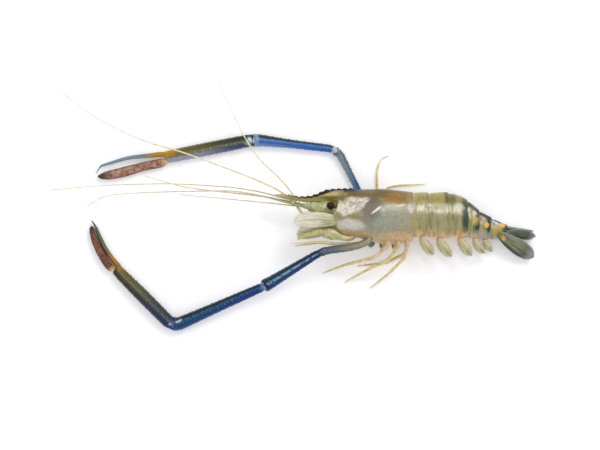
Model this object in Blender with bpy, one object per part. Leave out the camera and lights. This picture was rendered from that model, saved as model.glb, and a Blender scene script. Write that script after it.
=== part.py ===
# A whole raw giant river prawn with long blue claws, lying on its right side on a flat surface.
# Lengths are millimetres until each mesh is made. +X runs to the tail, +Y to the back, +Z up,
# so the prawn's left side faces up. Its flat middle plane, from back to belly, lies level.
import math

import bpy
import numpy as np

MM = 0.001
GAP = 0.35
FLOOR = 0.0
SCREEN_GAMMA = 2.2
# The centre of the whole outline, in the same coordinates as the tables below.
CENTRE_X = -95.4
CENTRE_Y = 8.8

# Soft bends use at most this share of the straight run beside them, in this many points.
BEND_LIMIT = 0.48
BEND_POINTS = 9
# A line's direction is taken from points this far before and after each place.
NEAR = 0.6
# Limb ends: how far their rounding reaches, and how close other rings may come to it.
END_LIMIT = 0.2
END_CLEAR = 1.5
RING_CLOSEST = 0.35

# Trunk: place along the body, back edge (x, y), belly edge (x, y), half width, height of the middle.
TRUNK = [
    (-61.0, -61.0, 20.8, -61.0, -16.4, 11.0, 22.0),
    (-50.0, -50.0, 20.9, -50.0, -17.8, 13.6, 22.0),
    (-38.0, -38.0, 21.2, -38.0, -19.9, 15.4, 22.0),
    (-25.0, -25.0, 21.5, -25.0, -21.9, 16.5, 21.7),
    (-13.0, -13.0, 20.5, -13.0, -22.4, 16.4, 20.2),
    (-3.0, -3.0, 19.2, -3.0, -21.2, 15.9, 18.5),
    (0.0, 0.0, 18.9, 0.0, -19.8, 15.7, 18.0),
    (12.0, 12.0, 18.5, 12.0, -20.2, 15.6, 16.0),
    (28.0, 28.0, 18.7, 28.5, -20.4, 15.4, 14.7),
    (36.0, 36.0, 16.4, 36.6, -20.3, 14.8, 14.1),
    (44.0, 43.6, 12.4, 44.4, -20.0, 13.8, 13.1),
    (53.0, 53.2, 4.4, 52.6, -20.2, 11.4, 10.7),
    (62.0, 63.0, -1.4, 60.6, -20.6, 9.2, 8.6),
    (75.0, 76.0, -7.8, 73.4, -18.3, 6.4, 6.9),
]
# How the section differs from an oval: powers below 1 make it fuller, and it is wider below.
BACK_POWER = 0.95
BELLY_POWER = 0.8
SIDE_POWER = 0.9
SIDE_LEAN = 0.06

CARAPACE_FRONT = -61.0
CARAPACE_REAR = 0.0
CARAPACE_RINGS = 13
CARAPACE_SIDES = 28
REAR_RING = -1.2
REAR_ROUNDING = 0.03
# The cheek's lower edge slants back below this height, and the slant fades out along the shell.
CHEEK_HEIGHT = -0.4
CHEEK_SLANT = 13.0
CHEEK_POWER = 2.5
CHEEK_FADE = 40.0
CHEEK_FADE_POWER = 1.5
# The front edge's eye notch and small spine: reach in millimetres, turn and width in degrees.
FRONT_FADE = 8.0
ORBIT_NOTCH = 2.4
ORBIT_TURN = 62.0
ORBIT_WIDTH = 16.0
SPINE_REACH = 2.2
SPINE_TURN = 91.0
SPINE_WIDTH = 7.0
RIM_WALL = 0.9
RIM_DEPTH = 2.2
FRONT_FLOOR = 1.0

# Beak: x, top edge y, bottom edge y, half thickness.
BEAK = [
    (-110.8, 16.9, 16.4, 0.35),
    (-105.0, 17.6, 15.0, 0.7),
    (-98.0, 16.3, 13.2, 0.95),
    (-89.0, 15.0, 11.6, 1.15),
    (-82.0, 15.4, 10.8, 1.4),
    (-75.0, 17.6, 11.0, 1.9),
    (-69.0, 20.2, 11.3, 2.4),
    (-61.0, 21.1, 12.4, 3.0),
    (-50.0, 21.4, 15.0, 3.0),
    (-42.0, 20.4, 17.4, 2.0),
]
UPPER_TEETH = 12
UPPER_TOOTH_FROM = -104.0
UPPER_TOOTH_TO = -46.0
UPPER_TOOTH_HEIGHT = 0.95
LOWER_TEETH = 8
LOWER_TOOTH_FROM = -103.0
LOWER_TOOTH_TO = -79.0
LOWER_TOOTH_HEIGHT = 0.7
TOOTH_START = 0.02
TOOTH_PEAK = 0.15
BEAK_SIDES = 8
BEAK_KEEL = 0.3

# Tail rings: where each of the six ends along the trunk, in the same measure as TRUNK.
SOMITE_ENDS = [0.0, 12.0, 28.0, 44.0, 53.0, 62.0, 75.0]
SOMITE_RINGS = 6
SOMITE_SIDES = 26
SOMITE_TUCK = 0.35
SOMITE_LIP = 0.4
PLEURON_LOBE = 0.05
BELLY_HOLLOW = 0.16
BELLY_HOLLOW_WIDTH = 32.0
# Side lobes start below this height. The second ring's lobes lap over both neighbours.
LOBE_HEIGHT = -0.1
LOBE_POWER = 1.5
LOBE_SWEEP = 1.2
SECOND_LOBE_FORWARD = 5.0
SECOND_LOBE_BACK = 3.6

# Each limb below is a list of corners (x, y, z) with rounded bends.
ARM_BEND = 8.0
ROOT_REACH = 3.0
RIGHT_ARM_ROOT = (-33.0, 208.0)
RIGHT_ARM = [
    (-33.4, -23.0, 6.6),
    (-32.5, -16.0, 3.0),
    (-34.6, 1.0, 2.8),
    (-43.6, 21.6, 2.8),
    (-59.8, 53.2, 3.9),
    (-126.4, 61.0, 4.6),
    (-197.6, 46.6, 4.4),
    (-228.0, 38.0, 4.0),
    (-251.5, 30.8, 3.2),
]
LEFT_ARM_ROOT = (-37.0, 150.0)
LEFT_ARM = [
    (-48.0, -24.8, 29.0),
    (-72.0, -27.8, 25.4),
    (-117.2, -55.6, 12.4),
    (-190.8, -88.2, 4.8),
    (-237.4, -41.6, 4.2),
    (-252.4, -22.0, 3.9),
    (-256.4, -3.6, 2.9),
]
# Places of the joints along each arm, as the corner each one lies at.
RIGHT_JOINTS = [2, 4, 5, 6]
LEFT_JOINTS = [1, 2, 3, 4]
ARM_SIDES = 10

# Arm pieces: share of the length, half width, half depth, shift to the side.
RIGHT_ISCHIUM = [(0.0, 2.2, 2.0, 0.0), (0.4, 2.6, 2.4, 0.0), (1.0, 2.7, 2.5, 0.0)]
RIGHT_MERUS = [(0.0, 2.3, 2.2, 0.0), (0.08, 2.6, 2.5, 0.0), (0.55, 2.5, 2.5, 0.0), (1.0, 3.3, 3.1, 0.0)]
RIGHT_CARPUS = [(0.0, 2.4, 2.4, 0.0), (0.06, 2.9, 2.9, 0.0), (0.5, 3.3, 3.2, 0.0), (1.0, 5.0, 4.6, 0.0)]
RIGHT_PALM = [
    (0.0, 4.0, 3.6, 0.0),
    (0.03, 4.9, 4.4, 0.0),
    (0.3, 5.2, 4.8, 0.0),
    (0.48, 5.1, 4.7, 0.0),
    (0.55, 4.7, 4.3, 0.2),
    (0.569, 2.2, 2.6, 3.0),
    (0.64, 1.9, 2.3, 4.6),
    (0.82, 1.4, 1.8, 8.0),
    (0.95, 0.95, 1.2, 8.0),
    (1.0, 0.35, 0.4, 3.4),
]
RIGHT_DACTYL = [
    (0.0, 2.6, 2.6, -3.2),
    (0.07, 3.5, 3.2, -3.2),
    (0.35, 3.5, 3.3, -2.2),
    (0.57, 3.9, 3.3, -2.1),
    (0.82, 3.6, 2.9, -1.1),
    (0.95, 2.1, 1.9, -0.2),
    (1.0, 0.5, 0.6, 0.4),
]
LEFT_ISCHIUM = [(0.0, 2.4, 2.4, 0.0), (0.3, 2.8, 2.6, 0.0), (1.0, 3.0, 2.8, 0.0)]
LEFT_MERUS = [(0.0, 2.6, 2.5, 0.0), (0.08, 3.0, 2.9, 0.0), (0.5, 3.9, 3.6, 0.0), (1.0, 5.0, 4.5, 0.0)]
LEFT_CARPUS = [(0.0, 2.9, 2.8, 0.0), (0.06, 3.5, 3.3, 0.0), (0.5, 4.2, 4.0, 0.0), (1.0, 5.8, 5.2, 0.0)]
LEFT_PALM = [
    (0.0, 4.2, 3.9, 0.0),
    (0.03, 5.0, 4.6, 0.0),
    (0.3, 5.2, 4.9, 0.0),
    (0.52, 4.7, 4.3, 0.0),
    (0.58, 4.4, 4.0, 0.2),
    (0.602, 2.1, 2.5, 2.6),
    (0.68, 1.8, 2.2, 2.6),
    (0.83, 1.65, 1.7, 3.75),
    (0.93, 1.1, 1.2, 2.9),
    (0.97, 0.7, 0.8, 1.6),
    (1.0, 0.35, 0.4, 0.2),
]
LEFT_DACTYL = [
    (0.0, 2.2, 2.4, -2.7),
    (0.07, 2.9, 2.9, -2.8),
    (0.17, 3.0, 3.0, -2.8),
    (0.4, 3.0, 3.0, -1.9),
    (0.61, 2.75, 2.6, -1.0),
    (0.9, 2.2, 2.1, -0.9),
    (0.97, 1.4, 1.4, -0.8),
    (1.0, 0.6, 0.6, -0.7),
]
# How far short of the other finger's tip each moving finger ends.
RIGHT_DACTYL_SHORT = 0.5
LEFT_DACTYL_SHORT = 4.5

LEG_BEND = 5.0
LEG_SIDES = 6
# Legs: name, place on the trunk and turn of the root, corners, half thickness.
LEGS = [
    ("leg_1_left", -43.0, 173.0, [(-58.0, -22.6, 23.4), (-73.0, -20.6, 23.6), (-97.0, -22.0, 23.0)], 1.5),
    ("leg_1_right", -43.0, 190.0, [(-58.0, -22.6, 18.4), (-74.0, -21.0, 18.0), (-94.0, -24.0, 17.0)], 1.5),
    ("leg_3_left", -20.0, 152.0, [(-30.0, -33.0, 23.0), (-54.0, -39.0, 12.0), (-72.0, -46.0, 1.6)], 1.7),
    ("leg_4_left", -12.0, 152.0, [(-18.0, -34.0, 20.0), (-38.0, -44.0, 10.0), (-54.0, -53.0, 1.5)], 1.6),
    ("leg_5_left", -5.0, 152.0, [(-6.0, -33.0, 17.0), (-20.0, -47.0, 9.0), (-34.0, -58.0, 1.4)], 1.5),
    (
        "leg_3_right",
        -22.0,
        200.0,
        [
            (-24.5, -27.0, 8.0), (-26.5, -15.0, 2.2), (-28.0, 22.0, 2.2),
            (-28.2, 37.0, 2.6), (-25.0, 46.0, 2.0), (-18.6, 48.0, 1.4),
        ],
        1.5,
    ),
    (
        "leg_4_right",
        -13.0,
        200.0,
        [
            (-15.0, -27.0, 7.0), (-17.0, -15.0, 1.7), (-22.4, 22.0, 1.7),
            (-12.0, 24.6, 2.0), (11.0, 25.6, 1.4),
        ],
        1.2,
    ),
    ("leg_5_right", -5.0, 205.0, [(-5.0, -30.0, 5.0), (-22.0, -38.0, 2.4), (-44.0, -40.0, 1.4)], 1.5),
]
# Share of a leg's length and share of its thickness there: three slim joints and a thin last piece.
LEG_TAPER = [
    (0.0, 1.3), (0.12, 1.25), (0.16, 0.95), (0.2, 1.15), (0.44, 1.0), (0.47, 0.8), (0.51, 1.0),
    (0.66, 0.85), (0.69, 0.7), (0.73, 0.8), (0.92, 0.5), (1.0, 0.25),
]

# Legs beside the mouth: x, y; then share of the length, half width, half depth, shift.
MOUTH_LEG = [(-49.2, -18.1), (-56.1, -17.1), (-64.0, -13.6), (-74.0, -11.8), (-90.5, -17.6)]
MOUTH_LEG_SIDE = 4.6
MOUTH_LEG_PROFILE = [
    (0.0, 1.9, 1.9, 0.0),
    (0.18, 2.7, 2.6, 0.0),
    (0.34, 4.3, 3.0, 0.0),
    (0.5, 3.9, 2.8, 0.0),
    (0.54, 2.9, 2.3, 0.0),
    (0.6, 3.1, 2.4, 0.0),
    (0.78, 2.1, 1.8, 0.0),
    (0.82, 1.7, 1.5, 0.0),
    (1.0, 0.8, 0.8, 0.0),
]

# Head pieces are given as x, y and distance from the flat middle plane, for both sides.
HEAD_HEIGHT = 22.0
HEAD_BEND = 5.0
EYE_CENTRE = (-66.2, 8.0, 9.6)
EYE_RADIUS = 3.1
# In eye radii: how much of the ball is there, and how much of it lies behind its middle.
EYE_DEPTH = 1.65
EYE_BEHIND = 0.65
EYE_STEPS = 6
EYE_SIDES = 12
EYE_SMALLEST = 0.02
# The eye's stalk thickens from its root, and goes straight on past its bend.
EYE_STALK = [(-58.2, 9.5, 3.2), (-63.4, 8.6, 7.4)]
STALK_RADIUS = 2.2
STALK_ROOT_SHARE = 0.8
STALK_END = 1.2
STALK_BEND = 2.0
# First feelers' bases, then second ones': share of the length, half width, half depth, shift.
ANTENNULE_BASE = [(-59.0, 3.6, 3.2), (-70.0, 5.8, 3.3), (-87.0, 8.2, 3.0)]
ANTENNULE_PROFILE = [
    (0.0, 2.8, 2.3, 0.0),
    (0.15, 3.8, 2.5, 0.0),
    (0.3, 4.5, 2.4, 0.0),
    (0.46, 4.2, 2.3, 0.0),
    (0.5, 3.6, 2.0, 0.0),
    (0.54, 3.8, 2.2, 0.0),
    (0.78, 3.0, 2.0, 0.0),
    (0.81, 2.6, 1.8, 0.0),
    (1.0, 2.1, 1.7, 0.0),
]
ANTENNA_BASE = [(-58.5, -3.8, 5.8), (-70.0, -3.4, 6.6), (-85.0, -1.6, 6.0)]
ANTENNA_PROFILE = [
    (0.0, 2.4, 2.3, 0.0),
    (0.2, 3.0, 2.6, 0.0),
    (0.5, 2.6, 2.3, 0.0),
    (0.54, 2.1, 1.9, 0.0),
    (0.6, 2.3, 2.1, 0.0),
    (1.0, 1.6, 1.5, 0.0),
]
SCALE_LINES = {
    "left": [(-62.0, -3.4, 10.2), (-76.0, -2.6, 11.0), (-93.5, -4.2, 9.8)],
    "right": [(-61.2, -7.0, 10.2), (-76.0, -10.6, 11.0), (-91.5, -14.4, 9.4)],
}
SCALE_WIDTH = 6.2
SCALE_THICK = 0.75
SCALE_ROOT = 0.4
SCALE_BEND = 8.0

WHIP_SIDES = 5
WHIP_POINTS = 60
# Share of a feeler's length and share of its radius there, then the radius of its tip.
WHIP_TAPER = (0.3, 0.8)
WHIP_TIP = 0.28
# Long feelers: name, points from the base out, radius at the base.
WHIPS = [
    (
        "antenna_right",
        [
            (-85.7, -1.2, 15.7), (-92.0, 9.0, 15.0), (-96.0, 18.0, 15.5), (-108.0, 32.0, 17.0),
            (-120.0, 43.2, 17.0), (-129.6, 56.0, 16.0), (-137.6, 70.4, 12.0), (-155.2, 108.8, 1.6),
        ],
        0.75,
    ),
    (
        "antenna_left",
        [
            (-85.7, -1.2, 28.0), (-89.5, 3.0, 25.2), (-92.5, 7.6, 21.9), (-96.5, 12.0, 19.6),
            (-104.0, 18.6, 18.6), (-124.8, 28.8, 18.0), (-156.0, 40.8, 17.0), (-185.6, 51.4, 15.6),
            (-209.6, 58.4, 13.0), (-249.6, 76.8, 7.0), (-288.0, 104.8, 1.4),
        ],
        0.75,
    ),
    (
        "antennule_left_outer",
        [
            (-87.7, 7.5, 25.7), (-101.6, 11.0, 25.0), (-117.6, 15.2, 23.0),
            (-137.6, 17.6, 20.0), (-177.6, 22.4, 14.0), (-213.6, 32.0, 11.6),
        ],
        0.8,
    ),
    (
        "antennule_left_inner",
        [
            (-87.4, 9.3, 24.3), (-104.0, 14.4, 25.8), (-126.4, 20.0, 26.0), (-150.4, 23.2, 20.0),
            (-199.2, 25.6, 9.0), (-240.0, 24.6, 5.0), (-289.6, 20.8, 1.2),
        ],
        0.55,
    ),
    (
        "antennule_right_outer",
        [
            (-87.4, 9.0, 18.4), (-110.0, 14.0, 15.0), (-150.0, 20.0, 9.0),
            (-205.0, 19.0, 3.6), (-243.0, 16.4, 1.8), (-260.0, 8.0, 1.2),
        ],
        0.6,
    ),
    (
        "antennule_right_inner",
        [(-87.7, 7.3, 19.8), (-108.0, 9.6, 16.4), (-140.0, 12.8, 11.0), (-186.0, 17.2, 4.0)],
        0.5,
    ),
]

# Tail fan pieces: name, corners, widest half width, roll in degrees.
FAN = [
    ("uropod_outer_left", [(69.6, -15.0, 16.1), (80.0, -22.0, 12.2), (97.2, -33.2, 6.6)], 7.4, -12.0),
    ("uropod_inner_left", [(75.3, -13.2, 10.9), (86.0, -13.6, 10.9), (98.6, -16.4, 8.4)], 4.4, -20.0),
    ("uropod_outer_right", [(73.5, -18.2, 4.1), (83.4, -24.4, 3.4), (96.4, -32.2, 1.6)], 7.0, 6.0),
    ("uropod_inner_right", [(74.9, -14.2, 4.4), (86.0, -15.0, 3.6), (97.4, -17.4, 2.6)], 4.0, 10.0),
]
FAN_HALF_THICK = 0.8
FAN_SIDES = 8
FAN_BEND = 6.0
# A leaf: shares of its length and of its widest half width, past a neck that is wider than the root.
LEAF_SHAPE = [(0.35, 0.88), (0.62, 1.0), (0.84, 0.86), (0.95, 0.55), (1.0, 0.22)]
LEAF_NECK = (0.12, 0.25)
LEAF_ROOT = 0.35
# A leaf's thickness at its root, and how much of it goes towards the tip, as shares.
LEAF_ROOT_THICK = 1.15
LEAF_THINNING = 0.5
TELSON = [(75.8, -9.6, 7.0), (86.0, -11.0, 6.8), (96.8, -12.0, 6.4)]
# Telson: share of the length, half thickness, half width, shift.
TELSON_PROFILE = [
    (0.0, 1.5, 3.36, 0.0),
    (0.15, 1.65, 4.2, 0.0),
    (0.5, 1.35, 3.36, 0.0),
    (0.85, 0.9, 2.1, 0.0),
    (1.0, 0.45, 0.63, 0.0),
]

# Swimming paddles under the first five tail rings: place on the trunk, length, depth of the root.
PADDLES = [(6.5, 15.0, 1.4), (20.0, 16.0, 1.1), (36.5, 15.0, 1.05), (48.8, 12.5, 0.65), (57.6, 10.0, 0.5)]
PADDLE_TURN = 28.0
PADDLE_HALF_WIDTH = 0.21
PADDLE_THICK = 0.85
PADDLE_SIDES = 6
PADDLE_ROOT = 0.45
PADDLE_BEND = 5.0
PADDLE_SPREAD = 0.5
# Shares of a paddle's length: how far back and down its middle corner and its tip lie.
PADDLE_CORNER = (0.22, -0.45)
PADDLE_TIP = (0.62, -0.86)

COLOURS = {
    "shell": ((136, 132, 112), 0.3),
    "tail_ring": ((124, 126, 92), 0.3),
    "tail_fan": ((72, 88, 76), 0.35),
    "blue_shell": ((40, 62, 112), 0.35),
    "claw_tip": ((96, 62, 46), 0.55),
    "leg": ((196, 172, 130), 0.35),
    "feeler": ((206, 186, 140), 0.4),
    "antennule": ((134, 142, 122), 0.4),
    "eye": ((20, 14, 14), 0.12),
    "eye_stalk": ((112, 104, 62), 0.35),
    "head_base": ((150, 150, 108), 0.35),
    "scale": ((196, 192, 160), 0.3),
    "paddle": ((176, 166, 128), 0.35),
}


def clear_scene():
    for obj in list(bpy.data.objects):
        bpy.data.objects.remove(obj, do_unlink=True)


def material(name):
    found = bpy.data.materials.get(name)
    if found:
        return found
    rgb, roughness = COLOURS[name]
    made = bpy.data.materials.new(name)
    made.use_nodes = True
    shader = made.node_tree.nodes["Principled BSDF"]
    linear = [(value / 255.0) ** SCREEN_GAMMA for value in rgb]
    shader.inputs["Base Color"].default_value = (*linear, 1.0)
    shader.inputs["Roughness"].default_value = roughness
    shader.inputs["Metallic"].default_value = 0.0
    return made


def smooth(places, values, at):
    # Reads a soft curve without overshoot, through values given at rising places.
    x = np.asarray(places, float)
    y = np.asarray(values, float).reshape(len(x), -1)
    at = np.atleast_1d(np.asarray(at, float))
    step = np.diff(x)[:, None]
    rise = np.diff(y, axis=0) / step
    slope = np.zeros_like(y)
    slope[0] = rise[0]
    slope[-1] = rise[-1]
    before = rise[:-1]
    after = rise[1:]
    same = before * after > 0
    total = np.where(same, before + after, 1.0)
    slope[1:-1] = np.where(same, 2.0 * before * after / total, 0.0)
    left = np.clip(np.searchsorted(x, at, side="right") - 1, 0, len(x) - 2)
    width = step[left]
    t = np.clip((at - x[left])[:, None] / width, 0.0, 1.0)
    a = 2 * t**3 - 3 * t**2 + 1
    b = t**3 - 2 * t**2 + t
    c = 3 * t**2 - 2 * t**3
    d = t**3 - t**2
    return a * y[left] + b * width * slope[left] + c * y[left + 1] + d * width * slope[left + 1]


def rounded_line(corners, bend):
    # Straight runs joined by soft bends, as closely spaced points.
    corners = np.asarray(corners, float)
    points = [corners[0]]
    for before, corner, after in zip(corners[:-2], corners[1:-1], corners[2:]):
        into = before - corner
        out = after - corner
        reach_in = min(bend, BEND_LIMIT * np.linalg.norm(into))
        reach_out = min(bend, BEND_LIMIT * np.linalg.norm(out))
        start = corner + into / np.linalg.norm(into) * reach_in
        end = corner + out / np.linalg.norm(out) * reach_out
        for t in np.linspace(0.0, 1.0, BEND_POINTS):
            points.append((1 - t) ** 2 * start + 2 * t * (1 - t) * corner + t**2 * end)
    points.append(corners[-1])
    return np.array(points)


def soft_line(points, count):
    # One flowing curve through a few points.
    points = np.asarray(points, float)
    reach = length_along(points)
    return smooth(reach, points, np.linspace(0.0, reach[-1], count))


def length_along(line):
    return np.concatenate([[0.0], np.cumsum(np.linalg.norm(np.diff(line, axis=0), axis=1))])


def point_at(line, reach, at):
    return np.array([np.interp(at, reach, line[:, axis]) for axis in range(3)]).T


def corner_place(line, reach, corner):
    # How far along the line its nearest point to a corner lies.
    return reach[np.argmin(np.linalg.norm(line - np.asarray(corner, float), axis=1))]


def frames_at(line, reach, at, roll=0.0):
    # Middle, sideways and upward directions of a section across the line.
    middle = point_at(line, reach, at)
    heading = point_at(line, reach, at + NEAR) - point_at(line, reach, at - NEAR)
    heading /= np.linalg.norm(heading, axis=1)[:, None]
    side = np.cross(heading, (0.0, 0.0, 1.0))
    side /= np.linalg.norm(side, axis=1)[:, None]
    up = np.cross(side, heading)
    turn = math.radians(roll)
    return middle, side * math.cos(turn) + up * math.sin(turn), up * math.cos(turn) - side * math.sin(turn)


def mesh_object(name, points, faces, look):
    moved = (np.asarray(points) - (CENTRE_X, CENTRE_Y, 0.0)) * MM
    mesh = bpy.data.meshes.new(name)
    mesh.from_pydata([tuple(point) for point in moved], [], faces)
    mesh.materials.append(material(look))
    mesh.update()
    mesh.shade_smooth()
    obj = bpy.data.objects.new(name, mesh)
    bpy.context.scene.collection.objects.link(obj)
    return obj


def ring_object(name, rings, look, first=None, last=None):
    # Closes a row of equal rings into one body, with a middle point in each end.
    rings = np.asarray(rings)
    count, sides = rings.shape[:2]
    points = list(rings.reshape(-1, 3))
    points.append(rings[0].mean(axis=0) if first is None else first)
    points.append(rings[-1].mean(axis=0) if last is None else last)
    faces = []
    for row in range(count - 1):
        for side in range(sides):
            following = (side + 1) % sides
            a = row * sides + side
            b = row * sides + following
            faces.append((a, b, b + sides, a + sides))
    for side in range(sides):
        following = (side + 1) % sides
        faces.append((count * sides, following, side))
        end = (count - 1) * sides
        faces.append((count * sides + 1, end + side, end + following))
    obj = mesh_object(name, points, faces, look)
    face_outwards(obj)
    return obj


def face_outwards(obj):
    mesh = obj.data
    points = np.array([vertex.co for vertex in mesh.vertices])
    mesh.calc_loop_triangles()
    corners = points[np.array([triangle.vertices for triangle in mesh.loop_triangles])]
    if np.linalg.det(corners).sum() < 0:
        mesh.flip_normals()


def limb(name, line, start, end, profile, sides, look, roll=0.0, rings=10, blunt=0.35):
    # A piece of limb between two places on a line, with its ends a little rounded.
    reach = length_along(line)
    profile = np.array(profile, float)
    length = end - start
    edge = min(blunt * 2.0, END_LIMIT * length)
    shares = np.unique(np.round(np.concatenate([profile[:, 0], np.linspace(0.0, 1.0, rings)]), 3))
    keep = [shares[0]]
    for share in shares[1:]:
        if share - keep[-1] > RING_CLOSEST / rings or share in profile[:, 0]:
            keep.append(share)
    inner = np.array(keep)
    clear = edge * END_CLEAR
    inner = inner[(inner * length > clear) & ((1.0 - inner) * length > clear)]
    at = np.concatenate([[0.0, edge / length], inner, [1.0 - edge / length, 1.0]])
    values = smooth(profile[:, 0], profile[:, 1:], at)
    shrink = np.ones(len(at))
    shrink[0] = 1.0 - blunt
    shrink[-1] = 1.0 - blunt
    middle, side, up = frames_at(line, reach, start + at * length, roll)
    turn = np.arange(sides) * 2.0 * math.pi / sides
    across = (values[:, 0] * shrink)[:, None] * np.cos(turn) + values[:, 2][:, None]
    above = (values[:, 1] * shrink)[:, None] * np.sin(turn)
    rings_made = middle[:, None] + across[..., None] * side[:, None] + above[..., None] * up[:, None]
    rings_made[..., 2] = np.maximum(rings_made[..., 2], FLOOR)
    return ring_object(name, rings_made, look)


def trunk_section(place):
    # Centre of the section, half of the way from belly to back, and half width.
    table = np.array(TRUNK)
    back_x, back_y, belly_x, belly_y, half_width, height = smooth(table[:, 0], table[:, 1:], place)[0]
    centre = np.array([(back_x + belly_x) / 2, (back_y + belly_y) / 2, height])
    upward = np.array([(back_x - belly_x) / 2, (back_y - belly_y) / 2, 0.0])
    return centre, upward, half_width


def trunk_point(place, turn):
    # A point of the trunk's skin and its height, 1 on the back and -1 on the belly.
    # turn runs in degrees from the back, over the left side, to the belly.
    centre, upward, half_width = trunk_section(place)
    cosine = math.cos(math.radians(turn))
    sine = math.sin(math.radians(turn))
    power = BACK_POWER if cosine > 0 else BELLY_POWER
    tall = math.copysign(abs(cosine) ** power, cosine)
    wide = math.copysign(abs(sine) ** SIDE_POWER, sine) * (1.0 - SIDE_LEAN * cosine)
    return centre + upward * tall + (0.0, 0.0, half_width * wide), tall


def trunk_root(place, turn):
    # A point just off the skin and the direction straight out from it.
    here, tall = trunk_point(place, turn)
    if place < CARAPACE_REAR:
        here[0] += front_edge_shift(place, turn, tall)
    along = trunk_point(place + NEAR, turn)[0] - trunk_point(place - NEAR, turn)[0]
    around = trunk_point(place, turn + 1.0)[0] - trunk_point(place, turn - 1.0)[0]
    out = np.cross(along, around)
    out /= np.linalg.norm(out)
    centre = trunk_section(place)[0]
    if np.dot(out[1:], (here - centre)[1:]) < 0:
        out = -out
    return here + out * GAP, out


def hump(distance, width):
    return math.exp(-((distance / width) ** 2))


def front_edge_shift(place, turn, tall):
    # How far back a point of the carapace moves, to shape its front edge.
    behind = place - CARAPACE_FRONT
    fade = max(0.0, 1.0 - behind / CHEEK_FADE) ** CHEEK_FADE_POWER
    low = max(0.0, (CHEEK_HEIGHT - tall) / (1.0 + CHEEK_HEIGHT))
    near = max(0.0, 1.0 - behind / FRONT_FADE)
    sideways = min(abs(turn), abs(360.0 - turn))
    shift = CHEEK_SLANT * low**CHEEK_POWER
    shift += near * ORBIT_NOTCH * hump(sideways - ORBIT_TURN, ORBIT_WIDTH)
    shift -= near * SPINE_REACH * hump(sideways - SPINE_TURN, SPINE_WIDTH)
    return shift * fade if low > 0 else shift


def make_carapace():
    turns = np.arange(CARAPACE_SIDES) * 360.0 / CARAPACE_SIDES
    rings = []
    places = np.linspace(CARAPACE_REAR - GAP / 2, CARAPACE_FRONT, CARAPACE_RINGS)
    places = np.insert(places, 1, CARAPACE_REAR + REAR_RING)
    for place in places:
        ring = []
        for turn in turns:
            point, tall = trunk_point(place, turn)
            point[0] += front_edge_shift(place, turn, tall)
            ring.append(point)
        rings.append(np.array(ring))
    middle = rings[-1].mean(axis=0)
    for wall, depth in ((RIM_WALL, 0.0), (2.0 * RIM_WALL, RIM_DEPTH)):
        inward = middle - rings[len(places) - 1]
        inward[:, 0] = 0.0
        inward /= np.linalg.norm(inward, axis=1)[:, None]
        rings.append(rings[len(places) - 1] + inward * wall + (depth, 0.0, 0.0))
    rings[0] = rings[0] + (rings[0].mean(axis=0) - rings[0]) * REAR_ROUNDING
    hollow_end = rings[-1].mean(axis=0) + (FRONT_FLOOR, 0.0, 0.0)
    shell = ring_object("carapace", rings, "shell", last=hollow_end)
    join_body(shell, make_beak())


def tooth_line(x, count, start, end, height):
    # Teeth that lean towards the tip: each rises slowly from behind and drops sharply in front.
    if not start <= x <= end:
        return 0.0
    share = (x - start) / (end - start) * count % 1.0
    return height * (1.0 - share) if share > TOOTH_PEAK else height * share / TOOTH_PEAK


def make_beak():
    table = np.array(BEAK)
    marks = [table[:, 0]]
    for count, start, end in (
        (UPPER_TEETH, UPPER_TOOTH_FROM, UPPER_TOOTH_TO),
        (LOWER_TEETH, LOWER_TOOTH_FROM, LOWER_TOOTH_TO),
    ):
        pitch = (end - start) / count
        teeth = start + np.arange(count) * pitch
        marks.append(teeth + TOOTH_START * pitch)
        marks.append(teeth + TOOTH_PEAK * pitch)
    xs = np.unique(np.round(np.concatenate(marks), 2))
    rings = []
    for x in xs:
        top, bottom, thick = smooth(table[:, 0], table[:, 1:], x)[0]
        top += tooth_line(x, UPPER_TEETH, UPPER_TOOTH_FROM, UPPER_TOOTH_TO, UPPER_TOOTH_HEIGHT)
        bottom -= tooth_line(x, LOWER_TEETH, LOWER_TOOTH_FROM, LOWER_TOOTH_TO, LOWER_TOOTH_HEIGHT)
        ring = []
        for number in range(BEAK_SIDES):
            turn = 2.0 * math.pi * number / BEAK_SIDES
            ring.append((
                x,
                (top + bottom) / 2 + (top - bottom) / 2 * math.cos(turn),
                HEAD_HEIGHT + thick * math.sin(turn) * (1.0 - BEAK_KEEL * math.cos(turn)),
            ))
        rings.append(ring)
    return ring_object("beak", rings, "shell")


def join_body(body, added):
    # The added piece overlaps the body, and both become one closed solid.
    join = body.modifiers.new("join_" + added.name, "BOOLEAN")
    join.operation = "UNION"
    join.solver = "EXACT"
    join.object = added
    added.hide_render = True
    added.display_type = "WIRE"


def somite_edge(number, tall):
    # Where a ring ends: square across the back, with side lobes that sweep along the body.
    place = SOMITE_ENDS[number]
    low = max(0.0, LOBE_HEIGHT - tall) / (1.0 + LOBE_HEIGHT)
    if number == 1:
        return place - SECOND_LOBE_FORWARD * low**LOBE_POWER
    if number == 2:
        return place + SECOND_LOBE_BACK * low**LOBE_POWER
    return place - LOBE_SWEEP * low if 0 < number < len(SOMITE_ENDS) - 1 else place


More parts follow.
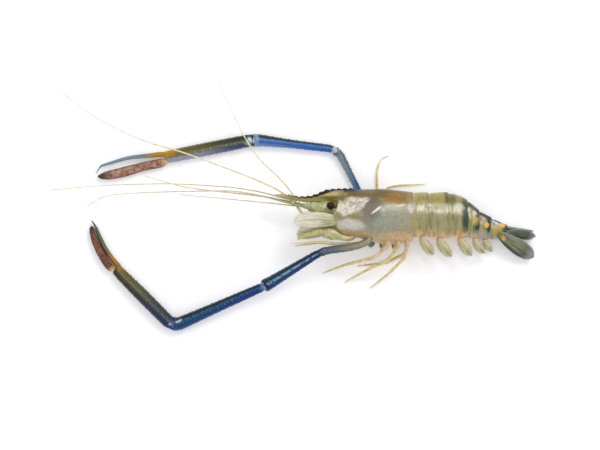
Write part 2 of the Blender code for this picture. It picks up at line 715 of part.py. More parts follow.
def make_somite(number):
    turns = np.arange(SOMITE_SIDES) * 360.0 / SOMITE_SIDES
    shares = np.concatenate([[0.0], np.linspace(0.1, 0.9, SOMITE_RINGS - 2), [1.0]])
    rings = []
    for share in shares:
        ring = []
        for turn in turns:
            tall = trunk_point(SOMITE_ENDS[number], turn)[1]
            front = somite_edge(number - 1, tall) + GAP / 2
            rear = somite_edge(number, tall) - GAP / 2
            place = front + (rear - front) * share
            centre = trunk_section(place)[0]
            out = trunk_point(place, turn)[0] - centre
            lobe = 1.0 - PLEURON_LOBE * (2.0 * share - 1.0) ** 2 * max(0.0, -tall)
            hollow = 1.0 - BELLY_HOLLOW * hump(turn - 180.0, BELLY_HOLLOW_WIDTH)
            puff = SOMITE_LIP * share - SOMITE_TUCK * (1.0 - share)
            ring.append(centre + out * lobe * hollow * (1.0 + puff / np.linalg.norm(out)))
        rings.append(ring)
    rings = np.array(rings)
    rings[..., 2] = np.maximum(rings[..., 2], FLOOR)
    ring_object("somite_%d" % number, rings, "tail_ring")


def leaf_profile(half_width, half_thick, root=LEAF_ROOT):
    # Narrow at the root, widest past the middle, round at the end.
    shape = [(0.0, root), (LEAF_NECK[0], root + LEAF_NECK[1])] + LEAF_SHAPE
    return [
        (share, half_width * width, half_thick * (LEAF_ROOT_THICK - LEAF_THINNING * share), 0.0)
        for share, width in shape
    ]


def whole_limb(name, line, profile, sides, look, **more):
    return limb(name, line, 0.0, length_along(line)[-1], profile, sides, look, **more)


def make_tail_fan():
    for name, corners, half_width, roll in FAN:
        line = rounded_line(corners, FAN_BEND)
        profile = leaf_profile(half_width, FAN_HALF_THICK)
        whole_limb(name, line, profile, FAN_SIDES, "tail_fan", roll=roll, rings=8)
    line = rounded_line(TELSON, FAN_BEND)
    whole_limb("telson", line, TELSON_PROFILE, FAN_SIDES, "tail_fan", rings=7)


def make_paddles():
    for number, (place, length, depth) in enumerate(PADDLES, 1):
        for side, sign in (("left", 1.0), ("right", -1.0)):
            root, out = trunk_root(place, 180.0 - sign * PADDLE_TURN)
            start = root - out * depth
            corner = start + (PADDLE_CORNER[0] * length, PADDLE_CORNER[1] * length, sign * PADDLE_SPREAD)
            tip = start + (PADDLE_TIP[0] * length, PADDLE_TIP[1] * length, -sign * PADDLE_SPREAD)
            line = rounded_line([start, corner, tip], PADDLE_BEND)
            profile = leaf_profile(PADDLE_HALF_WIDTH * length, PADDLE_THICK, PADDLE_ROOT)
            name = "pleopod_%d_%s" % (number, side)
            whole_limb(name, line, profile, PADDLE_SIDES, "paddle", rings=6)


def make_arm(side, root_place, corners, joints, profiles, short):
    root, out = trunk_root(*root_place)
    line = rounded_line([root, root + out * ROOT_REACH] + corners, ARM_BEND)
    reach = length_along(line)
    cuts = [0.0] + [corner_place(line, reach, corners[joint]) for joint in joints] + [reach[-1]]
    names = ("ischium", "merus", "carpus")
    for number, piece in enumerate(names):
        limb(
            "arm_%s_%s" % (side, piece),
            line,
            cuts[number] + GAP / 2,
            cuts[number + 1] - GAP / 2,
            profiles[number],
            ARM_SIDES,
            "blue_shell",
            rings=11,
            blunt=0.2,
        )
    limb(
        "arm_%s_palm" % side, line, cuts[3] + GAP / 2, cuts[5], profiles[3], ARM_SIDES, "blue_shell",
        rings=12, blunt=0.2,
    )
    limb(
        "arm_%s_dactyl" % side, line, cuts[4] + GAP, cuts[5] - short, profiles[4], ARM_SIDES, "claw_tip",
        rings=9, blunt=0.2,
    )


def make_legs():
    for name, place, turn, corners, thick in LEGS:
        root, out = trunk_root(place, turn)
        line = rounded_line([root, root + out * ROOT_REACH] + corners, LEG_BEND)
        profile = [(share, thick * size, thick * size, 0.0) for share, size in LEG_TAPER]
        whole_limb(name, line, profile, LEG_SIDES, "leg", rings=6, blunt=0.3)


def mirrored(points, sign):
    return [(x, y, HEAD_HEIGHT + sign * off) for x, y, off in points]


def make_head(side, sign):
    mouth = [(x, y, MOUTH_LEG_SIDE) for x, y in MOUTH_LEG]
    line = rounded_line(mirrored(mouth, sign), LEG_BEND)
    whole_limb("maxilliped_%s" % side, line, MOUTH_LEG_PROFILE, LEG_SIDES, "leg", rings=6)

    make_eye(side, sign)

    line = rounded_line(mirrored(ANTENNULE_BASE, sign), HEAD_BEND)
    whole_limb("antennule_base_%s" % side, line, ANTENNULE_PROFILE, FAN_SIDES, "head_base", rings=6)

    line = rounded_line(mirrored(ANTENNA_BASE, sign), HEAD_BEND)
    whole_limb("antenna_base_%s" % side, line, ANTENNA_PROFILE, FAN_SIDES, "head_base", rings=6)

    line = rounded_line(mirrored(SCALE_LINES[side], sign), SCALE_BEND)
    profile = leaf_profile(SCALE_WIDTH, SCALE_THICK, SCALE_ROOT)
    whole_limb("antenna_scale_%s" % side, line, profile, FAN_SIDES, "scale", rings=8)


def make_eye(side, sign):
    # A short stalk and, just off its end, most of a ball.
    root, bend = np.array(mirrored(EYE_STALK, sign))
    eye = np.array(mirrored([EYE_CENTRE], sign))[0]
    aim = (eye - bend) / np.linalg.norm(eye - bend)
    line = rounded_line([root, bend, bend + aim * STALK_END], STALK_BEND)
    thin = STALK_RADIUS * STALK_ROOT_SHARE
    profile = [(0.0, thin, thin, 0.0), (1.0, STALK_RADIUS, STALK_RADIUS, 0.0)]
    whole_limb("eye_stalk_%s" % side, line, profile, FAN_SIDES, "eye_stalk", rings=5, blunt=0.2)

    seat = line[-1] + aim * GAP
    profile = []
    for share in np.linspace(0.0, 1.0, EYE_STEPS + 1):
        level = share * EYE_DEPTH - EYE_BEHIND
        radius = EYE_RADIUS * math.sqrt(max(EYE_SMALLEST, 1.0 - level * level))
        profile.append((share, radius, radius, 0.0))
    line = np.array([seat, seat + aim * EYE_DEPTH * EYE_RADIUS])
    whole_limb("eye_%s" % side, line, profile, EYE_SIDES, "eye", rings=7, blunt=0.15)


def make_whips():
    for name, points, thick in WHIPS:
        line = soft_line(points, WHIP_POINTS)
        share, size = WHIP_TAPER
        middle = thick * size
        profile = [(0.0, thick, thick, 0.0), (share, middle, middle, 0.0), (1.0, WHIP_TIP, WHIP_TIP, 0.0)]
        look = "feeler" if name.startswith("antenna_") else "antennule"
        whole_limb(name, line, profile, WHIP_SIDES, look, rings=18, blunt=0.2)


clear_scene()
make_carapace()
for somite in range(1, 7):
    make_somite(somite)
make_tail_fan()
make_paddles()
make_arm("right", RIGHT_ARM_ROOT, RIGHT_ARM, RIGHT_JOINTS,
         (RIGHT_ISCHIUM, RIGHT_MERUS, RIGHT_CARPUS, RIGHT_PALM, RIGHT_DACTYL), RIGHT_DACTYL_SHORT)
make_arm("left", LEFT_ARM_ROOT, LEFT_ARM, LEFT_JOINTS,
         (LEFT_ISCHIUM, LEFT_MERUS, LEFT_CARPUS, LEFT_PALM, LEFT_DACTYL), LEFT_DACTYL_SHORT)
make_legs()
make_head("left", 1.0)
make_head("right", -1.0)
make_whips()
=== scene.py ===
import math

import bpy
import numpy as np
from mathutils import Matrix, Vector


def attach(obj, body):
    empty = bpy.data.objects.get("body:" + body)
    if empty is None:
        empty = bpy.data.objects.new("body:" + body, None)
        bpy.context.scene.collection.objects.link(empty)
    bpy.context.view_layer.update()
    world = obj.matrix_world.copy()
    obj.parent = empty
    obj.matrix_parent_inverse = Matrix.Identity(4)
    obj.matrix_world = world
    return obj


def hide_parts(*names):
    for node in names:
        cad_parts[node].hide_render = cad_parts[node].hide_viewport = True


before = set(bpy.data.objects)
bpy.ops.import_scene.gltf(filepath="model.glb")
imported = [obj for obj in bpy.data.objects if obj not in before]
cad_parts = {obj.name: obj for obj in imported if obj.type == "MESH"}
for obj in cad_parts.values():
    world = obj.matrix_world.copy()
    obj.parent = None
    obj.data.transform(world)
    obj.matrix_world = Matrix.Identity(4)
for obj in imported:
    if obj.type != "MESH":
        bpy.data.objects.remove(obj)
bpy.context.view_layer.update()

mm = 0.001
# All tables are in millimetres: x towards the tail, y towards the back, z up from the floor.
centreOfFrame = np.array([-95.4, 8.8, 0.0])
headHeight = 22.0
jointGap = 0.35
floorClear = 0.02
flanks = (("left", 1.0), ("right", -1.0))


def rgb(red, green, blue):
    # A colour as it looks on screen, turned into the linear values that shaders use.
    return tuple((value / 255.0) ** 2.2 for value in (red, green, blue)) + (1.0,)


# curves
def smooth(places, values, at):
    x = np.asarray(places, float)
    y = np.asarray(values, float).reshape(len(x), -1)
    at = np.atleast_1d(np.asarray(at, float))
    step = np.diff(x)[:, None]
    rise = np.diff(y, axis=0) / step
    slope = np.zeros_like(y)
    slope[0] = rise[0]
    slope[-1] = rise[-1]
    before = rise[:-1]
    after = rise[1:]
    same = before * after > 0
    total = np.where(same, before + after, 1.0)
    slope[1:-1] = np.where(same, 2.0 * before * after / total, 0.0)
    left = np.clip(np.searchsorted(x, at, side="right") - 1, 0, len(x) - 2)
    width = step[left]
    t = np.clip((at - x[left])[:, None] / width, 0.0, 1.0)
    a = 2 * t**3 - 3 * t**2 + 1
    b = t**3 - 2 * t**2 + t
    c = 3 * t**2 - 2 * t**3
    d = t**3 - t**2
    return a * y[left] + b * width * slope[left] + c * y[left + 1] + d * width * slope[left + 1]


def roundedLine(corners, bend):
    corners = np.asarray(corners, float)
    points = [corners[0]]
    for before, corner, after in zip(corners[:-2], corners[1:-1], corners[2:]):
        into = before - corner
        out = after - corner
        reachIn = min(bend, 0.48 * np.linalg.norm(into))
        reachOut = min(bend, 0.48 * np.linalg.norm(out))
        start = corner + into / np.linalg.norm(into) * reachIn
        end = corner + out / np.linalg.norm(out) * reachOut
        for t in np.linspace(0.0, 1.0, 33):
            points.append((1 - t) ** 2 * start + 2 * t * (1 - t) * corner + t**2 * end)
    points.append(corners[-1])
    return np.array(points)


def softLine(points, count):
    points = np.asarray(points, float)
    reach = lengthAlong(points)
    return smooth(reach, points, np.linspace(0.0, reach[-1], count))


def lengthAlong(line):
    return np.concatenate([[0.0], np.cumsum(np.linalg.norm(np.diff(line, axis=0), axis=1))])


def pointAt(line, reach, at):
    return np.array([np.interp(at, reach, line[:, axis]) for axis in range(3)]).T


def cornerPlace(line, reach, corner):
    return reach[np.argmin(np.linalg.norm(line - np.asarray(corner, float), axis=1))]


def sunkRoot(corners, depth):
    # Moves the first corner back along the line, so that the root sits in what carries it.
    first, second = (np.array(corner, float) for corner in corners[:2])
    back = first + (first - second) / np.linalg.norm(first - second) * depth
    return [tuple(back)] + list(corners[1:])


def framesAt(line, reach, at, roll=0.0):
    near = 0.6
    middle = pointAt(line, reach, at)
    heading = pointAt(line, reach, at + near) - pointAt(line, reach, at - near)
    heading /= np.linalg.norm(heading, axis=1)[:, None]
    side = np.cross(heading, (0.0, 0.0, 1.0))
    side /= np.linalg.norm(side, axis=1)[:, None]
    up = np.cross(side, heading)
    turn = math.radians(roll)
    across = side * math.cos(turn) + up * math.sin(turn)
    above = up * math.cos(turn) - side * math.sin(turn)
    return middle, heading, across, above


def hump(distance, width):
    return np.exp(-(distance / width) ** 2)


# meshes
def makePiece(name, points, faces, material, marks, nodes):
    moved = (np.asarray(points, float) - centreOfFrame) * mm
    mesh = bpy.data.meshes.new(name)
    mesh.from_pydata(moved.tolist(), [], faces)
    for label, values in marks.items():
        layer = mesh.attributes.new(label, "FLOAT", "POINT")
        layer.data.foreach_set("value", np.asarray(values, np.float32).ravel())
    mesh.materials.append(material)
    mesh.update()
    flipIfInside(mesh)
    mesh.shade_smooth()
    piece = bpy.data.objects.new(name, mesh)
    bpy.context.scene.collection.objects.link(piece)
    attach(piece, "root")
    if nodes:
        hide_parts(*nodes)


def flipIfInside(mesh):
    points = np.empty(len(mesh.vertices) * 3, np.float32)
    mesh.vertices.foreach_get("co", points)
    mesh.calc_loop_triangles()
    corners = np.empty(len(mesh.loop_triangles) * 3, np.int32)
    mesh.loop_triangles.foreach_get("vertices", corners)
    shape = points.reshape(-1, 3)[corners.reshape(-1, 3)].astype(float)
    if np.linalg.det(shape).sum() < 0:
        mesh.flip_normals()


def loftFaces(count, sides):
    # Quads from ring to ring, then triangles to the two poles that follow the rings' points.
    rows = np.arange(count - 1)[:, None] * sides
    here = np.arange(sides)[None, :]
    after = (here + 1) % sides
    faces = np.stack([rows + here, rows + after, rows + sides + after, rows + sides + here], axis=-1)
    faces = faces.reshape(-1, 4).tolist()
    pole = count * sides
    lastRing = pole - sides
    for side in range(sides):
        following = (side + 1) % sides
        faces.append((pole, following, side))
        faces.append((pole + 1, lastRing + side, lastRing + following))
    return faces


def loftPiece(name, rings, material, marks, nodes, lastPole=None):
    # A closed skin over rings of points; marks are values that its material reads.
    count, sides = rings.shape[:2]
    end = rings[-1].mean(axis=0) if lastPole is None else lastPole
    points = np.vstack([rings.reshape(-1, 3), rings[0].mean(axis=0), end])
    full = {}
    for label, values in marks.items():
        values = np.broadcast_to(values, (count, sides))
        full[label] = np.concatenate([values.ravel(), [values[0].mean(), values[-1].mean()]])
    makePiece(name, points, loftFaces(count, sides), material, full, nodes)


def spikes(roots, aims, lengths, widths):
    # Thin three-sided points: one body for each root, four corners each.
    aims = aims / np.linalg.norm(aims, axis=1)[:, None]
    first = np.cross(aims, (0.31, 0.17, 0.93))
    first /= np.linalg.norm(first, axis=1)[:, None]
    second = np.cross(aims, first)
    lengths = np.broadcast_to(lengths, len(roots))[:, None]
    widths = np.broadcast_to(widths, len(roots))[:, None]
    corners = [roots + widths * (math.cos(turn) * first + math.sin(turn) * second)
               for turn in (0.0, 2.0 * math.pi / 3, 4.0 * math.pi / 3)]
    points = np.stack(corners + [roots + aims * lengths], axis=1).reshape(-1, 3)
    points[:, 2] = np.maximum(points[:, 2], floorClear)
    start = np.arange(len(roots))[:, None] * 4
    faces = [start + np.array([face]) for face in ((0, 1, 3), (1, 2, 3), (2, 0, 3), (0, 2, 1))]
    return points, np.concatenate(faces).tolist()


def limbRings(line, start, end, profile, sides, spacing, roll=0.0, blunt=0.35, relief=None, lobes=(0.0, 0.0)):
    # Rings across a line: profile is share, half width, half depth, shift. relief adds millimetres outwards.
    reach = lengthAlong(line)
    profile = np.array(profile, float)
    length = end - start
    edge = min(blunt * 2.0, 0.2 * length)
    count = max(8, int(length / spacing))
    rounding = edge * (1.0 - np.cos(np.linspace(0.0, math.pi / 2, 5)))
    inner = np.linspace(edge, length - edge, count)[1:-1]
    place = np.concatenate([rounding, inner, length - rounding[::-1]])
    values = smooth(profile[:, 0], profile[:, 1:], place / length)
    shrink = np.ones(len(place))
    quarter = np.sin(np.linspace(0.0, math.pi / 2, 5))
    shrink[:5] = 1.0 - blunt * (1.0 - quarter)
    shrink[-5:] = 1.0 - blunt * (1.0 - quarter[::-1])
    middle, heading, across, above = framesAt(line, reach, start + place, roll)
    turn = np.arange(sides) * 2.0 * math.pi / sides
    cosine = np.cos(turn)[None, :]
    sine = np.sin(turn)[None, :]
    out = relief(place[:, None], turn[None, :], length) if relief else 0.0
    wide = (values[:, 0] * shrink)[:, None] * cosine + out * cosine + values[:, 2][:, None]
    tall = (values[:, 1] * shrink)[:, None] * sine + out * sine
    rings = middle[:, None] + wide[..., None] * across[:, None] + tall[..., None] * above[:, None]
    lap = lobes[0] * hump(place, 3.0)[:, None] + lobes[1] * hump(length - place, 3.0)[:, None]
    rings = rings + (lap * np.cos(2.0 * turn)[None, :])[..., None] * heading[:, None]
    rings[..., 2] = np.maximum(rings[..., 2], floorClear)
    marks = {
        "share": np.broadcast_to((place / length)[:, None], rings.shape[:2]),
        "across": np.broadcast_to(cosine, rings.shape[:2]),
        "above": np.broadcast_to(sine, rings.shape[:2]),
    }
    return rings, marks, place, turn


def limbPiece(name, line, profile, sides, spacing, material, nodes, slot, **shape):
    # One closed piece over the whole of a line. Its rings come back, for hairs.
    rings, marks, _, _ = limbRings(line, 0.0, lengthAlong(line)[-1], profile, sides, spacing, **shape)
    loftPiece(name, rings, material, marks, nodes)
    return rings


# shader helpers
def addNode(tree, kind, **settings):
    node = tree.nodes.new(kind)
    for label, value in settings.items():
        setattr(node, label, value)
    return node


def plug(tree, value, socket):
    if isinstance(value, bpy.types.NodeSocket):
        tree.links.new(value, socket)
    else:
        socket.default_value = value


def maths(tree, operation, first, second=0.0, clamp=False):
    node = addNode(tree, "ShaderNodeMath", operation=operation, use_clamp=clamp)
    plug(tree, first, node.inputs[0])
    plug(tree, second, node.inputs[1])
    return node.outputs[0]


def times(tree, first, second):
    return maths(tree, "MULTIPLY", first, second)


def shaken(tree, value, texture, amount):
    # Moves a value up and down with a noise, so that the edge it draws isn't straight.
    centred = maths(tree, "SUBTRACT", texture.outputs[0], 0.5)
    return maths(tree, "ADD", value, times(tree, centred, amount))


def mixColour(tree, amount, under, over, blend="MIX"):
    node = addNode(tree, "ShaderNodeMix", data_type="RGBA", blend_type=blend, clamp_factor=True)
    plug(tree, amount, node.inputs[0])
    plug(tree, under, node.inputs[6])
    plug(tree, over, node.inputs[7])
    return node.outputs[2]


def paint(tree, colour, mask, tint, strength=1.0):
    # Lays a tint over a colour where the mask is 1.
    if strength != 1.0:
        mask = times(tree, mask, strength)
    return mixColour(tree, mask, colour, rgb(*tint))


def ramped(tree, value, low, high):
    # 0 below low, 1 above high, with a soft step between them.
    node = addNode(tree, "ShaderNodeMapRange", interpolation_type="SMOOTHSTEP", clamp=True)
    plug(tree, value, node.inputs["Value"])
    plug(tree, low, node.inputs["From Min"])
    plug(tree, high, node.inputs["From Max"])
    return node.outputs["Result"]


def mark(tree, label):
    node = addNode(tree, "ShaderNodeAttribute", attribute_type="GEOMETRY", attribute_name=label)
    return node.outputs["Fac"]


def noise(tree, place, scale, detail=4.0, rough=0.55):
    node = addNode(tree, "ShaderNodeTexNoise")
    for label, value in (("Vector", place), ("Scale", scale), ("Detail", detail), ("Roughness", rough)):
        plug(tree, value, node.inputs[label])
    return node


def addSpots(tree, place, colour, spots, within=None):
    # Each spot has its centre, half length, half width, turn, softness, strength and colour.
    for centre, length, width, turn, softness, strength, tint in spots:
        mask = spot(tree, place, centre, length, width, turn, softness)
        if within is not None:
            mask = times(tree, mask, within)
        colour = paint(tree, colour, mask, tint, strength)
    return colour


def newGroup(name, inputs, outputs):
    group = bpy.data.node_groups.new(name, "ShaderNodeTree")
    for label, kind, value in inputs:
        socket = group.interface.new_socket(label, in_out="INPUT", socket_type=kind)
        if value is not None:
            socket.default_value = value
    for label, kind in outputs:
        group.interface.new_socket(label, in_out="OUTPUT", socket_type=kind)
    return group, group.nodes.new("NodeGroupInput").outputs, group.nodes.new("NodeGroupOutput").inputs


def makeBodyPlace():
    # Where a point lies in the tables' millimetres, with its edges made a little wavy.
    group, given, result = newGroup(
        "bodyPlace",
        [("Wobble", "NodeSocketFloat", 2.0), ("Wobble Scale", "NodeSocketFloat", 0.16)],
        [("Place", "NodeSocketVector"), ("Wavy Place", "NodeSocketVector")],
    )
    coordinates = addNode(group, "ShaderNodeTexCoord")
    scaled = addNode(group, "ShaderNodeVectorMath", operation="SCALE")
    group.links.new(coordinates.outputs["Object"], scaled.inputs[0])
    scaled.inputs["Scale"].default_value = 1.0 / mm
    moved = addNode(group, "ShaderNodeVectorMath", operation="ADD")
    group.links.new(scaled.outputs[0], moved.inputs[0])
    moved.inputs[1].default_value = tuple(centreOfFrame)
    texture = addNode(group, "ShaderNodeTexNoise")
    group.links.new(moved.outputs[0], texture.inputs["Vector"])
    group.links.new(given["Wobble Scale"], texture.inputs["Scale"])
    texture.inputs["Detail"].default_value = 3.0
    centred = addNode(group, "ShaderNodeVectorMath", operation="SUBTRACT")
    group.links.new(texture.outputs["Color"], centred.inputs[0])
    centred.inputs[1].default_value = (0.5, 0.5, 0.5)
    shift = addNode(group, "ShaderNodeVectorMath", operation="SCALE")
    group.links.new(centred.outputs[0], shift.inputs[0])
    group.links.new(given["Wobble"], shift.inputs["Scale"])
    wavy = addNode(group, "ShaderNodeVectorMath", operation="ADD")
    group.links.new(moved.outputs[0], wavy.inputs[0])
    group.links.new(shift.outputs[0], wavy.inputs[1])
    group.links.new(moved.outputs[0], result["Place"])
    group.links.new(wavy.outputs[0], result["Wavy Place"])
    return group


def makeSoftSpot():
    # 1 inside a tilted oval seen from the side of the animal, fading to 0 outside it.
    group, given, result = newGroup(
        "softSpot",
        [
            ("Place", "NodeSocketVector", None),
            ("Centre", "NodeSocketVector", (0.0, 0.0, 0.0)),
            ("Turn", "NodeSocketFloat", 0.0),
            ("Half Length", "NodeSocketFloat", 5.0),
            ("Half Width", "NodeSocketFloat", 5.0),
            ("Softness", "NodeSocketFloat", 0.5),
        ],
        [("Mask", "NodeSocketFloat")],
    )
    away = addNode(group, "ShaderNodeVectorMath", operation="SUBTRACT")
    group.links.new(given["Place"], away.inputs[0])
    group.links.new(given["Centre"], away.inputs[1])
    turned = addNode(group, "ShaderNodeVectorRotate", rotation_type="Z_AXIS")
    group.links.new(away.outputs[0], turned.inputs["Vector"])
    back = times(group, given["Turn"], -1.0)
    group.links.new(back, turned.inputs["Angle"])
    split = addNode(group, "ShaderNodeSeparateXYZ")
    group.links.new(turned.outputs[0], split.inputs[0])
    longWay = maths(group, "DIVIDE", split.outputs["X"], given["Half Length"])
    shortWay = maths(group, "DIVIDE", split.outputs["Y"], given["Half Width"])
    square = maths(group, "ADD", maths(group, "POWER", maths(group, "ABSOLUTE", longWay), 2.0),
                   maths(group, "POWER", maths(group, "ABSOLUTE", shortWay), 2.0))
    distance = maths(group, "SQRT", square)
    inner = maths(group, "SUBTRACT", 1.0, given["Softness"])
    outer = maths(group, "ADD", 1.0, given["Softness"])
    inside = ramped(group, distance, outer, inner)
    group.links.new(inside, result["Mask"])
    return group


def makeWetSkin():
    # Fine pits and soft waves in a wet shell, and how rough each spot is.
    group, given, result = newGroup(
        "wetSkin",
        [
            ("Place", "NodeSocketVector", None),
            ("Pit Scale", "NodeSocketFloat", 2.2),
            ("Pit Depth", "NodeSocketFloat", 0.04),
            ("Wave Depth", "NodeSocketFloat", 0.12),
            ("Roughness", "NodeSocketFloat", 0.3),
        ],
        [("Normal", "NodeSocketVector"), ("Roughness", "NodeSocketFloat")],
    )
    pits = addNode(group, "ShaderNodeTexVoronoi", feature="F1")
    group.links.new(given["Place"], pits.inputs["Vector"])
    group.links.new(given["Pit Scale"], pits.inputs["Scale"])
    waves = noise(group, given["Place"], 0.35, 3.0)
    pitHeight = times(group, pits.outputs["Distance"], given["Pit Depth"])
    waveHeight = times(group, waves.outputs[0], given["Wave Depth"])
    height = maths(group, "ADD", pitHeight, waveHeight)
    bump = addNode(group, "ShaderNodeBump")
    bump.inputs["Distance"].default_value = mm
    group.links.new(height, bump.inputs["Height"])
    group.links.new(bump.outputs["Normal"], result["Normal"])
    blotch = noise(group, given["Place"], 0.6, 2.0)
    spread = times(group, maths(group, "SUBTRACT", blotch.outputs[0], 0.5), 0.25)
    group.links.new(maths(group, "ADD", given["Roughness"], spread, True), result["Roughness"])
    return group


def makeGrain():
    # Darkens a colour in fine uneven specks.
    group, given, result = newGroup(
        "grain",
        [
            ("Place", "NodeSocketVector", None),
            ("Colour", "NodeSocketColor", None),
            ("Dark", "NodeSocketColor", rgb(165, 165, 160)),
            ("Scale", "NodeSocketFloat", 1.0),
            ("Strength", "NodeSocketFloat", 0.4),
            ("Detail", "NodeSocketFloat", 5.0),
            ("Fineness", "NodeSocketFloat", 0.6),
            ("Low", "NodeSocketFloat", 0.3),
            ("High", "NodeSocketFloat", 0.7),
        ],
        [("Colour", "NodeSocketColor")],
    )
    texture = noise(group, given["Place"], given["Scale"], given["Detail"], given["Fineness"])
    specks = ramped(group, texture.outputs[0], given["Low"], given["High"])
    shade = mixColour(group, specks, given["Dark"], rgb(255, 255, 255))
    group.links.new(mixColour(group, given["Strength"], given["Colour"], shade, "MULTIPLY"), result["Colour"])
    return group


def makeTwoTones():
    # Soft blotches of one colour in another.
    group, given, result = newGroup(
        "twoTones",
        [
            ("Place", "NodeSocketVector", None),
            ("First", "NodeSocketColor", None),
            ("Second", "NodeSocketColor", None),
            ("Scale", "NodeSocketFloat", 0.3),
            ("Detail", "NodeSocketFloat", 4.0),
            ("Fineness", "NodeSocketFloat", 0.55),
            ("Low", "NodeSocketFloat", 0.38),
            ("High", "NodeSocketFloat", 0.62),
        ],
        [("Colour", "NodeSocketColor")],
    )
    texture = noise(group, given["Place"], given["Scale"], given["Detail"], given["Fineness"])
    blotches = ramped(group, texture.outputs[0], given["Low"], given["High"])
    group.links.new(mixColour(group, blotches, given["First"], given["Second"]), result["Colour"])
    return group


bodyPlaceGroup = makeBodyPlace()
softSpotGroup = makeSoftSpot()
wetSkinGroup = makeWetSkin()
grainGroup = makeGrain()
twoTonesGroup = makeTwoTones()


def placeGroup(tree, group, values):
    # Puts a group into a material; each value is a number, a colour or another node's output.
    node = addNode(tree, "ShaderNodeGroup", node_tree=group)
    for label, value in values.items():
        plug(tree, value, node.inputs[label])
    return node.outputs


def bodyPlace(tree, wobble=2.0, scale=0.16):
    made = placeGroup(tree, bodyPlaceGroup, {"Wobble": wobble, "Wobble Scale": scale})
    return made["Place"], made["Wavy Place"]


def spot(tree, place, centre, halfLength, halfWidth, turn, softness):
    # A flat oval through the whole body, so both sides of the animal carry the same mark.
    return placeGroup(tree, softSpotGroup, {
        "Place": place, "Centre": (*centre, 0.0), "Turn": math.radians(turn),
        "Half Length": halfLength, "Half Width": halfWidth, "Softness": softness,
    })["Mask"]


def grainy(tree, place, colour, scale, strength, **changes):
    values = {"Place": place, "Colour": colour, "Scale": scale, "Strength": strength}
    return placeGroup(tree, grainGroup, {**values, **changes})["Colour"]


def twoTones(tree, place, first, second, scale, low, high, **changes):
    values = {"Place": place, "First": rgb(*first), "Second": rgb(*second)}
    values.update({"Scale": scale, "Low": low, "High": high})
    return placeGroup(tree, twoTonesGroup, {**values, **changes})["Colour"]


crestCoat = {"around": 0.35, "less": 0.3}


def newMaterial(name, coat=0.0, coatRoughness=0.12, subsurface=0.0, specular=0.5):
    made = bpy.data.materials.new(name)
    made.use_nodes = True
    tree = made.node_tree
    shader = tree.nodes["Principled BSDF"]
    shader.inputs["Coat Weight"].default_value = coat
    shader.inputs["Coat Roughness"].default_value = coatRoughness
    shader.inputs["Subsurface Weight"].default_value = subsurface
    shader.inputs["Subsurface Radius"].default_value = (1.0, 0.8, 0.5)
    shader.inputs["Subsurface Scale"].default_value = 2.0 * mm
    shader.inputs["Specular IOR Level"].default_value = specular
    return made, tree, shader


def wetSkin(tree, shader, place, colour, pitScale, pitDepth, waveDepth, roughness):
    # Joins a material's colour, fine relief and uneven gloss to its shader.
    made = placeGroup(tree, wetSkinGroup, {
        "Place": place, "Pit Scale": pitScale, "Pit Depth": pitDepth, "Wave Depth": waveDepth,
        "Roughness": roughness,
    })
    tree.links.new(colour, shader.inputs["Base Color"])
    tree.links.new(made["Normal"], shader.inputs["Normal"])
    tree.links.new(made["Roughness"], shader.inputs["Roughness"])


def dullCoat(tree, shader, mask):
    # The black crest is less glossy than the shell around it.
    tree.links.new(maths(tree, "SUBTRACT", crestCoat["around"], times(tree, mask, crestCoat["less"])),
                   shader.inputs["Coat Weight"])


# camera, floor and light
view = {
    "pixel": 0.8,
    "pixelsWide": 600,
    "middle": (-89.6, -7.2),
    "height": 2500.0,
    "sensor": 36.0,
    "floorSize": 8.0,
    "floorGlow": 0.2,
    "sky": 0.84,
    "skyInGloss": 0.3,
    "keyEnergy": 9.5,
    "keyPlace": (0.75, 0.95, 1.35),
    "keySize": 0.6,
    "gleamEnergy": 5.5,
    "gleamPlace": (0.28, 0.62, 1.5),
    "gleamSize": 0.34,
}


